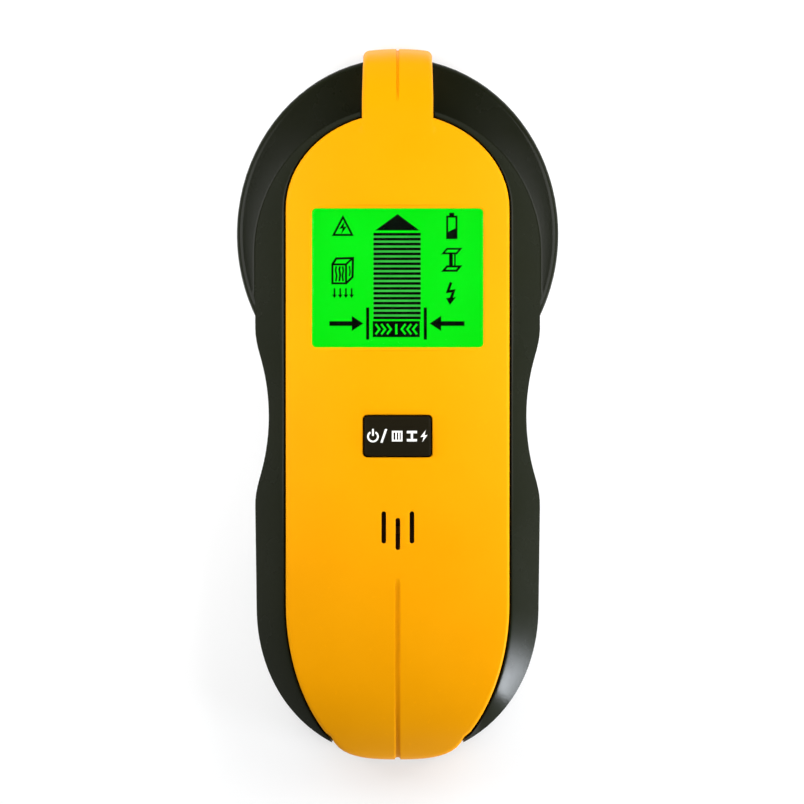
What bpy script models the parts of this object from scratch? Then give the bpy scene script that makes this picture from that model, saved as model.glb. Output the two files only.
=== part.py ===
"""Hand-held stud finder lying on its back.

Metres, +Z up.  The flat sensing face is at z = 0, the display faces +Z and the
marking nose points to +Y.  The origin is under the middle of the plan.
Three shells (rear_cover, front_housing, front_cover) are clamped together by
four screws and hold a 9 V battery, a main board with the display, and a sensor
board with its plates and search coil in the round head.
"""

import math

import bmesh
import bpy
from mathutils import Matrix, Vector

MM = 0.001

# ---- Driving dimensions ---------------------------------------------------

OVERALL_HEIGHT = 30.0 * MM
GAP = 0.3 * MM                      # air between pieces that touch
SPLIT_Z = 4.5 * MM                  # rear cover's upper edge
FLANGE_TOP_Z = 9.0 * MM
SHOULDER_RISE = 6.4 * MM            # side walls slope inwards over at most this height below the rim
SHOULDER_PITCH = 0.95               # rise of that slope for each unit of its run
SHOULDER_DRAFT = 0.9                # share of that slope that is straight, the rest curls over
RIM_WIDTH = 0.9 * MM                # least distance from the cover's outline to the side wall
FLOOR = 2.3 * MM                    # rear cover's floor
WALL = 2.0 * MM                     # shells' wall
SHELL_GAP = 0.35 * MM               # line between the yellow and black shells
PROUD = 0.6 * MM                    # yellow cover above the black rim
SEAT_DEPTH = 2.0 * MM               # black rim down to the ledge that holds the cover
LEDGE = 1.2 * MM                    # ledge's width inside the cover's outline
LEDGE_THICKNESS = 2.0 * MM

# Round head flange, an ellipse in plan
FLANGE_A = 36.7 * MM
FLANGE_B = 40.2 * MM
FLANGE_Y = 38.7 * MM
FLANGE_EDGE = 1.4 * MM              # its rounded upper edge

# Black body in plan
BODY_HALF = 32.4 * MM
BODY_TOP_Y = 34.4 * MM
BODY_TOP_B = 33.0 * MM
WAIST_RADIUS = 48.3 * MM
WAIST_CENTRE = (77.6 * MM, -2.8 * MM)
HIP_Y = -23.0 * MM
GRIP_HALF = 32.1 * MM
GRIP_Y = -46.0 * MM
GRIP_B = 34.6 * MM
GRIP_POWER = 2.1

# Yellow cover in plan
PANEL_HALF = 25.4 * MM
PANEL_TOP_Y = 44.3 * MM
PANEL_TOP_B = 21.8 * MM
PANEL_LOW_Y = -45.5 * MM
PANEL_LOW_B = 38.5 * MM
CHIN_HALF = 15.3 * MM
CHIN_Y = -73.0 * MM
CHIN_B = 8.1 * MM
CHIN_POWER = 2.8
CHIN_BLEND = 1.8 * MM
CHIN_START_Y = -74.6 * MM           # the cover wraps down over the end from here
CHIN_BOTTOM_Z = 2.6 * MM

# Yellow cover's crown
CREST_Y = 22.0 * MM
CREST_DROP_UP = 1.6 * MM            # fall from the crest to the panel's upper end
CREST_DROP_DOWN = 1.4 * MM          # fall per 50 mm squared towards the chin
CROWN_DROP = 1.6 * MM               # fall from the centre line to the panel's edge
CHIN_ROLL_Y = -62.0 * MM
CHIN_ROLL_LENGTH = 19.3 * MM
CHIN_ROLL_DROP = 12.0 * MM

# Marking nose
NOSE_HALF = 8.1 * MM
NOSE_TIP_Y = 81.0 * MM
NOSE_BROW_Y = 77.8 * MM
NOSE_BACK_Y = 79.25 * MM            # back of the tip that hangs in front of the flange
NOTCH_Y = 67.9 * MM                 # end of the notch in the black rim that the nose passes through
NOSE_GROOVE = 0.7 * MM
CHIN_GROOVE = 1.25 * MM
GROOVE_DEPTH = 0.6 * MM

# Openings in the cover
WINDOW = (38.95 * MM, 31.6 * MM)
WINDOW_Y = 28.6 * MM
KEY = (15.1 * MM, 9.0 * MM)
KEY_Y = -7.35 * MM
SOUND_SLOT = (1.05 * MM, 7.3 * MM)
SOUND_SLOTS = ((-3.15 * MM, -28.1 * MM), (0.05 * MM, -29.6 * MM), (3.25 * MM, -28.1 * MM))

# Inside
BOARD_Z = 20.4 * MM
BOARD_THICKNESS = 1.2 * MM
BOARD_HALF = 22.6 * MM
BOARD_Y = (-35.0 * MM, 49.5 * MM)
COVER_SCREWS = ((-16.5 * MM, 54.5 * MM), (16.5 * MM, 54.5 * MM),
                (-20.8 * MM, -38.4 * MM), (20.8 * MM, -38.4 * MM))
BOARD_SCREWS = ((-17.5 * MM, 5.0 * MM), (17.5 * MM, 5.0 * MM),
                (-17.5 * MM, -30.5 * MM), (17.5 * MM, -30.5 * MM))
SENSOR_SCREWS = ((-27.0 * MM, 38.7 * MM), (27.0 * MM, 38.7 * MM))
CHIPS = (                           # name, centre, and width, depth and height
    ("microcontroller", (-13.0 * MM, -7.0 * MM), (7.0 * MM, 7.0 * MM, 1.2 * MM)),
    ("signal_amplifier", (13.2 * MM, -5.6 * MM), (5.0 * MM, 4.0 * MM, 1.3 * MM)),
    ("voltage_regulator", (13.0 * MM, -13.2 * MM), (4.4 * MM, 3.4 * MM, 1.4 * MM)),
)
SENSOR_PLATES = (                   # name, and the ends of its width
    ("sensor_plate_left", -24.0 * MM, -9.0 * MM),
    ("sensor_plate_centre", -7.0 * MM, 7.0 * MM),
    ("sensor_plate_right", 9.0 * MM, 24.0 * MM),
)
SENSOR_BOARD_THICKNESS = 1.2 * MM
BATTERY = (26.5 * MM, 46.4 * MM, 17.5 * MM)
BATTERY_LOW_Y = -70.4 * MM
BATTERY_Z = 2.35 * MM
TERMINAL_X = 6.35 * MM
BAY_Y = (-70.9 * MM, -16.3 * MM)
DOOR_TOP_Y = -14.5 * MM
THUMB_RIBS = 5                      # grooves across the door for the thumb
THUMB_RIB = 0.9 * MM
THUMB_RIB_Y = -72.0 * MM

# Outline sampling
END_STEPS = 12
SIDE_STEPS = 14
LOW_SIDE_STEPS = 5
CHIN_STEPS = 6
SHOULDER_STEPS = 5
BODY_SPINE = (-46.0 * MM, 44.0 * MM)
CHIN_SPINE = (-78.3 * MM, -72.8 * MM)


# ---- Scene set-up ---------------------------------------------------------

for old in list(bpy.data.objects):
    bpy.data.objects.remove(old)

PARTS = bpy.data.collections.new("stud_finder")
CUTTERS = bpy.data.collections.new("cutters")
bpy.context.scene.collection.children.link(PARTS)
bpy.context.scene.collection.children.link(CUTTERS)


def material(name, colour, roughness, metallic=0.0):
    """A Principled material of one colour."""
    made = bpy.data.materials.new(name)
    made.use_nodes = True
    shader = made.node_tree.nodes["Principled BSDF"]
    shader.inputs["Base Color"].default_value = (*colour, 1.0)
    shader.inputs["Roughness"].default_value = roughness
    shader.inputs["Metallic"].default_value = metallic
    return made


YELLOW = material("yellow_abs", (0.90, 0.45, 0.02), 0.38)
BLACK = material("black_abs", (0.018, 0.018, 0.016), 0.40)
KEY_BLACK = material("key_rubber", (0.014, 0.014, 0.013), 0.60)
CLEAR = material("clear_acrylic", (0.90, 0.95, 0.92), 0.05)
LCD_GREEN = material("lcd_glass", (0.02, 0.85, 0.05), 0.15)
GUIDE = material("light_guide", (0.85, 0.95, 0.85), 0.30)
BOARD_GREEN = material("board_green", (0.02, 0.16, 0.06), 0.40)
CHIP = material("chip_black", (0.02, 0.02, 0.02), 0.50)
COPPER = material("copper", (0.80, 0.36, 0.18), 0.30, 1.0)
BRASS = material("brass", (0.78, 0.60, 0.28), 0.30, 1.0)
STEEL = material("steel", (0.60, 0.60, 0.62), 0.30, 1.0)
SILVER = material("aluminium", (0.75, 0.75, 0.76), 0.30, 1.0)
WHITE = material("white_plastic", (0.80, 0.80, 0.78), 0.50)
RUBBER = material("grey_rubber", (0.10, 0.10, 0.10), 0.70)
RED = material("red_pvc", (0.60, 0.02, 0.02), 0.45)
CELL = material("battery_jacket", (0.05, 0.06, 0.08), 0.35)


def place(name, bm, finish, collection):
    """Turn a bmesh into a named object with outward faces."""
    bmesh.ops.recalc_face_normals(bm, faces=bm.faces)
    mesh = bpy.data.meshes.new(name)
    bm.to_mesh(mesh)
    bm.free()
    thing = bpy.data.objects.new(name, mesh)
    if finish:
        mesh.materials.append(finish)
    collection.objects.link(thing)
    if collection is CUTTERS:
        thing.hide_render = True
        thing.display_type = "WIRE"
    return thing


def part(name, bm, finish):
    return place(name, bm, finish, PARTS)


def cutter(name, bm):
    return place(name, bm, None, CUTTERS)


def smooth(thing, angle=35.0):
    """Shade an object smooth except across sharp edges."""
    thing.data.shade_smooth()
    thing.data.set_sharp_from_angle(angle=math.radians(angle))


def combine(target, tool, operation):
    """Add an EXACT Boolean of a cutter to a part."""
    made = target.modifiers.new(operation.lower() + "_" + tool.name, "BOOLEAN")
    made.operation = operation
    made.solver = "EXACT"
    made.object = tool


def cut(target, *tools):
    for tool in tools:
        combine(target, tool, "DIFFERENCE")


def join(target, *tools):
    for tool in tools:
        combine(target, tool, "UNION")


# ---- Primitive solids -----------------------------------------------------

def box(low, high):
    """A box between two corners."""
    bm = bmesh.new()
    bmesh.ops.create_cube(bm, size=1.0)
    size = [high[i] - low[i] for i in range(3)]
    middle = [(high[i] + low[i]) / 2.0 for i in range(3)]
    bmesh.ops.scale(bm, vec=size, verts=bm.verts)
    bmesh.ops.translate(bm, vec=middle, verts=bm.verts)
    return bm


def rounded_box(low, high, radius, segments=4):
    """A box whose four upright edges are rounded."""
    bm = box(low, high)
    upright = [e for e in bm.edges if abs(e.verts[0].co.z - e.verts[1].co.z) > 1e-7]
    bmesh.ops.bevel(bm, geom=upright, offset=radius, segments=segments, affect="EDGES", profile=0.5)
    return bm


def rod(centre, radius, low_z, high_z, sides=20):
    """An upright cylinder."""
    bm = bmesh.new()
    bmesh.ops.create_cone(bm, cap_ends=True, segments=sides, radius1=radius, radius2=radius,
                          depth=high_z - low_z)
    bmesh.ops.translate(bm, vec=(centre[0], centre[1], (low_z + high_z) / 2.0), verts=bm.verts)
    return bm


def rod_along_y(x, z, radius, low_y, high_y, sides=20):
    """A cylinder lying along Y."""
    bm = rod((0.0, 0.0), radius, low_y, high_y, sides)
    bmesh.ops.rotate(bm, cent=(0.0, 0.0, 0.0), matrix=Matrix.Rotation(math.radians(-90.0), 3, "X"),
                     verts=bm.verts)
    bmesh.ops.translate(bm, vec=(x, 0.0, z), verts=bm.verts)
    return bm


def turned(name, profile, centre, finish, steps=24):
    """A solid of revolution about an upright axis, with its origin on that axis."""
    bm = bmesh.new()
    verts = [bm.verts.new((radius, 0.0, z)) for radius, z in profile]
    for first, second in zip(verts, verts[1:]):
        bm.edges.new((first, second))
    mesh = bpy.data.meshes.new(name)
    bm.to_mesh(mesh)
    bm.free()
    thing = bpy.data.objects.new(name, mesh)
    mesh.materials.append(finish)
    PARTS.objects.link(thing)
    thing.location = (centre[0], centre[1], 0.0)
    screw = thing.modifiers.new("screw", "SCREW")
    screw.steps = steps
    screw.render_steps = steps
    screw.use_merge_vertices = True
    screw.merge_threshold = 0.00001
    screw.use_smooth_shade = True
    return thing


def raised(profile, height):
    """A (radius, z) profile moved up."""
    return [(radius, z + height) for radius, z in profile]


def mesh_of_curve(name, curve, matrix, finish):
    """The closed mesh of a curve object, whose caps are welded to its sides."""
    guide = bpy.data.objects.new(name + "_curve", curve)
    PARTS.objects.link(guide)
    guide.matrix_world = matrix
    bpy.context.view_layer.update()
    evaluated = guide.evaluated_get(bpy.context.evaluated_depsgraph_get())
    mesh = bpy.data.meshes.new_from_object(evaluated)
    bpy.data.objects.remove(guide)
    bm = bmesh.new()
    bm.from_mesh(mesh)
    bmesh.ops.remove_doubles(bm, verts=bm.verts, dist=0.000001)
    bmesh.ops.transform(bm, matrix=matrix, verts=bm.verts)
    if finish:
        return part(name, bm, finish)
    return cutter(name, bm)


def prism_across(name, outline, half_width, finish=None):
    """A flat (y, z) outline extruded along X to both sides."""
    curve = bpy.data.curves.new(name, "CURVE")
    curve.dimensions = "2D"
    curve.fill_mode = "BOTH"
    curve.extrude = half_width
    spline = curve.splines.new("POLY")
    spline.points.add(len(outline) - 1)
    for point, (y, z) in zip(spline.points, outline):
        point.co = (y, z, 0.0, 1.0)
    spline.use_cyclic_u = True
    to_side = Matrix(((0, 0, 1, 0), (1, 0, 0, 0), (0, 1, 0, 0), (0, 0, 0, 1)))
    return mesh_of_curve(name, curve, to_side, finish)


def wire(name, points, radius, finish):
    """A round lead along smooth points."""
    curve = bpy.data.curves.new(name, "CURVE")
    curve.dimensions = "3D"
    curve.bevel_depth = radius
    curve.bevel_resolution = 2
    curve.use_fill_caps = True
    spline = curve.splines.new("POLY")
    spline.points.add(len(points) - 1)
    for point, place_at in zip(spline.points, points):
        point.co = (*place_at, 1.0)
    thing = bpy.data.objects.new(name, curve)
    curve.materials.append(finish)
    PARTS.objects.link(thing)
    return thing


# ---- Plan outlines: half-width at a given y, negative outside -------------

def superellipse(y, centre, half, reach, power=2.0):
    """Half-width of one end of a rounded form."""
    t = abs(y - centre) / reach
    if t >= 1.0:
        return -1.0
    return half * (1.0 - t ** power) ** (1.0 / power)


def soft_min(a, b, blend):
    """The smaller of two numbers, with the corner between them rounded."""
    near = max(blend - abs(a - b), 0.0) / blend
    return min(a, b) - near * near * blend / 4.0


def flange_plan(y):
    return superellipse(y, FLANGE_Y, FLANGE_A, FLANGE_B)


def body_plan(y):
    if y > BODY_TOP_Y:
        return superellipse(y, BODY_TOP_Y, BODY_HALF, BODY_TOP_B)
    if y < GRIP_Y:
        return superellipse(y, GRIP_Y, GRIP_HALF, GRIP_B, GRIP_POWER)
    slope = max(HIP_Y - y, 0.0) / (HIP_Y - GRIP_Y)
    side = BODY_HALF + (GRIP_HALF - BODY_HALF) * slope
    rise = WAIST_RADIUS ** 2 - (y - WAIST_CENTRE[1]) ** 2
    if rise <= 0.0:
        return side
    return soft_min(side, WAIST_CENTRE[0] - math.sqrt(rise), 1.2 * MM)


def base_plan(y):
    return max(flange_plan(y), body_plan(y))


def panel_plan(y):
    if y > PANEL_TOP_Y:
        return superellipse(y, PANEL_TOP_Y, PANEL_HALF, PANEL_TOP_B)
    if y > PANEL_LOW_Y:
        return PANEL_HALF
    side = superellipse(y, PANEL_LOW_Y, PANEL_HALF, PANEL_LOW_B)
    if y > CHIN_START_Y:
        return side
    chin = superellipse(y, CHIN_Y, CHIN_HALF, CHIN_B, CHIN_POWER)
    share = min((CHIN_START_Y - y) / CHIN_BLEND, 1.0)
    share = share * share * (3.0 - 2.0 * share)
    return side + (chin - side) * share


def chin_plan(y):
    """The chin's own plan, with room for its wall behind the point where it starts."""
    return panel_plan(y) if y < CHIN_START_Y + WALL else -1.0


def spokes(spine):
    """Start and direction of each ray from a spine, counter-clockwise from +X at its upper end."""
    low, high = spine
    made = []
    for i in range(END_STEPS):
        angle = math.pi * i / END_STEPS
        made.append((high, math.cos(angle), math.sin(angle)))
    for i in range(SIDE_STEPS):
        made.append((high + (low - high) * i / SIDE_STEPS, -1.0, 0.0))
    for angle in low_end_angles(spine):
        made.append((low, math.cos(angle), math.sin(angle)))
    for i in range(SIDE_STEPS):
        made.append((low + (high - low) * i / SIDE_STEPS, 1.0, 0.0))
    return made


def low_end_angles(spine):
    """Directions around the spine's lower end, with a close pair where the chin starts."""
    if spine is not BODY_SPINE:
        return [math.pi + math.pi * i / END_STEPS for i in range(END_STEPS)]
    down = 1.5 * math.pi
    start = math.atan2(panel_plan(CHIN_START_Y), spine[0] - CHIN_START_Y)
    inside = start - math.radians(0.9)
    left = [math.pi + (down - start - math.pi) * i / LOW_SIDE_STEPS for i in range(LOW_SIDE_STEPS + 1)]
    middle = [down - inside + 2.0 * inside * i / CHIN_STEPS for i in range(CHIN_STEPS + 1)]
    right = [2.0 * down - angle for angle in reversed(left[1:])]
    return left + middle + right


def radii(plan, spine=None):
    """How far each ray runs before it leaves an outline."""
    found = []
    for start, dx, dy in spokes(spine or BODY_SPINE):
        low, high = 0.0, 0.1
        for _ in range(34):
            middle = (low + high) / 2.0
            if abs(dx) * middle <= plan(start + dy * middle):
                low = middle
            else:
                high = middle
        found.append(low)
    return found


def moved(lengths, distance):
    """Radii made longer or shorter by one distance."""
    return [max(length + distance, 0.0) for length in lengths]


def scaled(lengths, share):
    return [length * share for length in lengths]


def widest(first, second):
    return [max(a, b) for a, b in zip(first, second)]


def ring(lengths, height, spine=None):
    """Points at the ends of the rays, at a height or a function of x and y."""
    made = []
    for length, (start, dx, dy) in zip(lengths, spokes(spine or BODY_SPINE)):
        x, y = dx * length, start + dy * length
        made.append((x, y, height(x, y) if callable(height) else height))
    return made


def loft(rings, closed=False):
    """A solid through rings: its ends lie on the spine, or the last ring meets the first."""
    bm = bmesh.new()
    rows = [[bm.verts.new(point) for point in points] for points in rings]
    if closed:
        rows.append(rows[0])
    count = len(rows[0])
    for lower, upper in zip(rows, rows[1:]):
        for i in range(count):
            j = (i + 1) % count
            bm.faces.new((lower[i], lower[j], upper[j], upper[i]))
    bmesh.ops.remove_doubles(bm, verts=bm.verts, dist=0.000005)
    bmesh.ops.dissolve_degenerate(bm, edges=bm.edges, dist=0.000002)
    bmesh.ops.triangulate(bm, faces=bm.faces)
    return bm


def column(plan, low_z, top, grow=0.0, spine=None, shares=(0.0,)):
    """An upright solid on an outline; its top is a height or a function of x and y."""
    outer = moved(radii(plan, spine), grow)
    rings = [ring(scaled(outer, 0.0), low_z, spine), ring(outer, low_z, spine), ring(outer, top, spine)]
    rings += [ring(scaled(outer, share), top, spine) for share in shares]
    return loft(rings)


DOME_SHARES = (0.88, 0.7, 0.4, 0.0)


# ---- Heights of the curved surfaces ---------------------------------------

def crest(y):
    """Height of the cover along its centre line."""
    if y > CREST_Y:
        z = OVERALL_HEIGHT - CREST_DROP_UP * ((y - CREST_Y) / (PANEL_TOP_Y + PANEL_TOP_B - CREST_Y)) ** 2
    else:
        z = OVERALL_HEIGHT - CREST_DROP_DOWN * ((CREST_Y - y) / (50.0 * MM)) ** 2
    t = min(max((CHIN_ROLL_Y - y) / CHIN_ROLL_LENGTH, 0.0), 1.0)
    return z - CHIN_ROLL_DROP * (1.0 - math.sqrt(1.0 - t * t))


def cover_top(x, y):
    return crest(y) - CROWN_DROP * (x / PANEL_HALF) ** 2


def cover_underside(x, y):
    """The cover's inner face, which follows the chin's roll one wall further in."""
    if y < 0.0:
        return cover_top(x, y - WALL) - WALL
    return cover_top(x, y) - WALL


def rim_height(x, y):
    return cover_top(x, y) - PROUD


def seat_height(x, y):
    """The ledge under the cover's edge, which also clears the cover's thicker roll at the chin."""
    return min(rim_height(x, y) - SEAT_DEPTH, cover_underside(x, y) - 2.0 * GAP)


def ledge_underside(x, y):
    return seat_height(x, y) - LEDGE_THICKNESS


def board_top():
    """Where a part soldered on the main board starts."""
    return BOARD_Z + BOARD_THICKNESS + GAP


def cover_edge(x, y):
    return cover_top(x, y) - 0.7 * MM


# ---- Shells ---------------------------------------------------------------

def shoulder_rails(foot, rim, rim_height_at):
    """Lower and upper end of each ray's slope; where the run is short the slope is low too."""
    rails = []
    for low, high in zip(ring(foot, 0.0), ring(rim, rim_height_at)):
        run = math.hypot(high[0] - low[0], high[1] - low[1])
        rise = min(SHOULDER_RISE, SHOULDER_PITCH * run)
        foot_z = max(high[2] - rise, FLANGE_TOP_Z + MM)
        rails.append((Vector((low[0], low[1], foot_z)), Vector(high)))
    return rails


def shoulder(foot, rim, rim_height_at):
    """Rings of a wall that slopes in from its foot and curls over to its rim."""
    rails = shoulder_rails(foot, rim, rim_height_at)
    rings = []
    for step in range(SHOULDER_STEPS + 1):
        angle = math.radians(90.0) * step / SHOULDER_STEPS
        rise = math.sin(angle)
        inward = SHOULDER_DRAFT * rise + (1.0 - SHOULDER_DRAFT) * (1.0 - math.cos(angle))
        points = []
        for low, high in rails:
            x = low.x + (high.x - low.x) * inward
            y = low.y + (high.y - low.y) * inward
            points.append((x, y, low.z + (high.z - low.z) * rise))
        rings.append(points)
    return rings


def nose_profile():
    """Side view (y, z) of the nose, from the cover over the rim and down to the sensing face."""
    over_rim_z = seat_height(0.0, 64.0 * MM) + GAP
    front = [(NOSE_BROW_Y, 22.6 * MM), (78.9 * MM, 20.4 * MM), (80.2 * MM, 13.0 * MM),
             (NOSE_TIP_Y, 5.0 * MM), (NOSE_TIP_Y, 0.9 * MM), (NOSE_TIP_Y - 0.4 * MM, 0.5 * MM)]
    brow = [(y * MM, nose_top(y * MM)) for y in (58.0, 62.0, 66.0, 70.0, 74.0)]
    over_flange_z = FLANGE_TOP_Z + GAP
    back = [(NOSE_BACK_Y, 0.5 * MM), (NOSE_BACK_Y, over_flange_z), (NOTCH_Y, over_flange_z),
            (NOTCH_Y, over_rim_z), (58.0 * MM, over_rim_z)]
    return brow + front + back


def nose_top(y):
    """The nose leaves the cover level and falls towards its brow."""
    past = max(y - 65.5 * MM, 0.0) / (12.5 * MM)
    return crest(y) - 0.1 * MM - 4.9 * MM * past * past


def make_rear_cover():
    """Floor, low wall, battery bay, door rails and screw bosses."""
    outer = radii(base_plan)
    lip_z = SPLIT_Z + 1.5 * MM
    bowl = [
        (scaled(outer, 0.0), 0.0),
        (moved(outer, -1.3 * MM), 0.0),
        (moved(outer, -0.4 * MM), 0.4 * MM),
        (outer, 1.3 * MM),
        (outer, SPLIT_Z),
        (moved(outer, -2.3 * MM), SPLIT_Z),
        (moved(outer, -2.3 * MM), lip_z),
        (moved(outer, -3.1 * MM), lip_z),
        (moved(outer, -3.1 * MM), FLOOR),
        (scaled(outer, 0.0), FLOOR),
    ]
    cover = part("rear_cover", loft([ring(lengths, z) for lengths, z in bowl]), BLACK)

    bay_low, bay_high = BAY_Y
    join(cover,
         cutter("bay_block", box((-15.0 * MM, bay_low - 1.3 * MM, 1.0 * MM),
                                 (15.0 * MM, bay_high + 1.3 * MM, 16.0 * MM))),
         cutter("rail_block", box((-17.3 * MM, -73.5 * MM, 1.1 * MM),
                                  (17.3 * MM, DOOR_TOP_Y + 1.6 * MM, 4.0 * MM))))
    for i, (x, y) in enumerate(COVER_SCREWS):
        join(cover, cutter("rear_boss_%d" % i, rod((x, y), 3.4 * MM, 0.6 * MM, 12.0 * MM)))
    for i, (x, y) in enumerate(SENSOR_SCREWS):
        join(cover, cutter("sensor_boss_%d" % i, rod((x, y), 2.2 * MM, 1.2 * MM, 3.0 * MM, 16)))

    cut(cover,
        cutter("bay_cut", box((-13.65 * MM, bay_low, -1.0 * MM), (13.65 * MM, bay_high, 20.0 * MM))),
        cutter("lead_notch", box((-11.0 * MM, bay_high - 1.0 * MM, 11.0 * MM),
                                 (11.0 * MM, bay_high + 3.0 * MM, 20.0 * MM))),
        cutter("door_channel", box((-14.8 * MM, -90.0 * MM, -1.0 * MM),
                                   (14.8 * MM, DOOR_TOP_Y + GAP, FLOOR))),
        cutter("tongue_channel", box((-15.9 * MM, -90.0 * MM, 0.9 * MM),
                                     (15.9 * MM, DOOR_TOP_Y + GAP, FLOOR))),
        cutter("rear_chin_clearance",
               column(chin_plan, FLOOR - 0.05 * MM, 40.0 * MM, 0.5 * MM, CHIN_SPINE)))
    for i, (x, y) in enumerate(COVER_SCREWS):
        cut(cover,
            cutter("head_bore_%d" % i, rod((x, y), 2.95 * MM, -1.0 * MM, 3.3 * MM)),
            cutter("shaft_bore_%d" % i, rod((x, y), 1.65 * MM, 2.0 * MM, 13.0 * MM, 16)))
    for i, (x, y) in enumerate(SENSOR_SCREWS):
        cut(cover, cutter("sensor_bore_%d" % i, rod((x, y), 1.2 * MM, 1.9 * MM, 4.0 * MM, 12)))
    smooth(cover)


def make_front_housing():
    """Black upper shell: the flange's top, the waisted walls and the ledge for the cover."""
    low_z = SPLIT_Z + GAP
    body = radii(body_plan)
    flange = radii(flange_plan)
    panel = [min(inner, outer - RIM_WIDTH) for inner, outer in zip(radii(panel_plan), body)]

    rings = [ring(widest(body, flange), low_z)]
    for angle in (0.0, 30.0, 60.0, 90.0):
        turn = math.radians(angle)
        rolled = widest(body, moved(flange, -FLANGE_EDGE * (1.0 - math.cos(turn))))
        rings.append(ring(rolled, FLANGE_TOP_Z - FLANGE_EDGE * (1.0 - math.sin(turn))))
    rings.append(ring(body, FLANGE_TOP_Z))
    rings += shoulder(body, moved(panel, SHELL_GAP), rim_height)
    rings += [ring(moved(panel, SHELL_GAP), seat_height), ring(moved(panel, -LEDGE), seat_height)]
    inner_body = moved(body, -WALL)
    rings += reversed(shoulder(inner_body, moved(panel, -LEDGE), ledge_underside))
    under_flange = widest(inner_body, moved(flange, -WALL))
    rings += [ring(inner_body, FLANGE_TOP_Z - WALL), ring(under_flange, FLANGE_TOP_Z - WALL),
              ring(under_flange, low_z)]
    housing = part("front_housing", loft(rings, closed=True), BLACK)

    notch_half = NOSE_HALF + SHELL_GAP
    cut(housing,
        cutter("chin_clearance", column(chin_plan, 0.0, 40.0 * MM, 0.5 * MM, CHIN_SPINE)),
        cutter("end_clearance", box((-13.0 * MM, -90.0 * MM, 0.0), (13.0 * MM, -78.4 * MM, 40.0 * MM))),
        cutter("nose_notch", box((-notch_half, 60.0 * MM, seat_height(0.0, 64.0 * MM) - 0.2 * MM),
                                 (notch_half, NOTCH_Y, 40.0 * MM))))
    smooth(housing)


def cover_bottom(outer, lengths):
    """A ring of the cover's lower edge: just above the ledge, and near the floor at the chin."""
    made = []
    for (_, edge_y, _), (x, y, _) in zip(ring(outer, 0.0), ring(lengths, 0.0)):
        in_chin = edge_y < CHIN_START_Y - 0.1 * MM
        made.append((x, y, CHIN_BOTTOM_Z if in_chin else seat_height(x, y) + GAP))
    return made


def opening(name, centre, size, grow, corner, segments=4):
    """A cutter for a round-cornered opening through the panel."""
    x, y = centre
    half_x, half_y = size[0] / 2.0 + grow, size[1] / 2.0 + grow
    return cutter(name, rounded_box((x - half_x, y - half_y, 20.0 * MM),
                                    (x + half_x, y + half_y, 40.0 * MM), corner, segments))


def chin_groove_profile():
    """Side view (y, z) of the cutter for the groove down the chin."""
    start_y = -38.6 * MM
    floor = [start_y, -50.0 * MM, -62.0 * MM, -68.0 * MM, -73.0 * MM, -77.0 * MM, -79.6 * MM]
    along = [(y, crest(y) - GROOVE_DEPTH) for y in floor]
    down = [(-80.5 * MM, 14.0 * MM), (-80.5 * MM, 1.0 * MM)]
    outside = [(-90.0 * MM, 1.0 * MM), (-90.0 * MM, 40.0 * MM), (start_y, 40.0 * MM)]
    return along + down + outside


def nose_groove_profile():
    """Side view (y, z) of the cutter for the marking groove down the nose."""
    start_y = 68.5 * MM
    along = [(y, nose_top(y) - GROOVE_DEPTH) for y in (start_y, 72.0 * MM, 75.0 * MM)]
    down = [(77.5 * MM, 22.0 * MM), (78.4 * MM, 20.0 * MM), (79.7 * MM, 12.6 * MM),
            (80.4 * MM, 5.0 * MM), (80.4 * MM, -1.0 * MM)]
    outside = [(90.0 * MM, -1.0 * MM), (90.0 * MM, 40.0 * MM), (start_y, 40.0 * MM)]
    return along + down + outside


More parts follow.
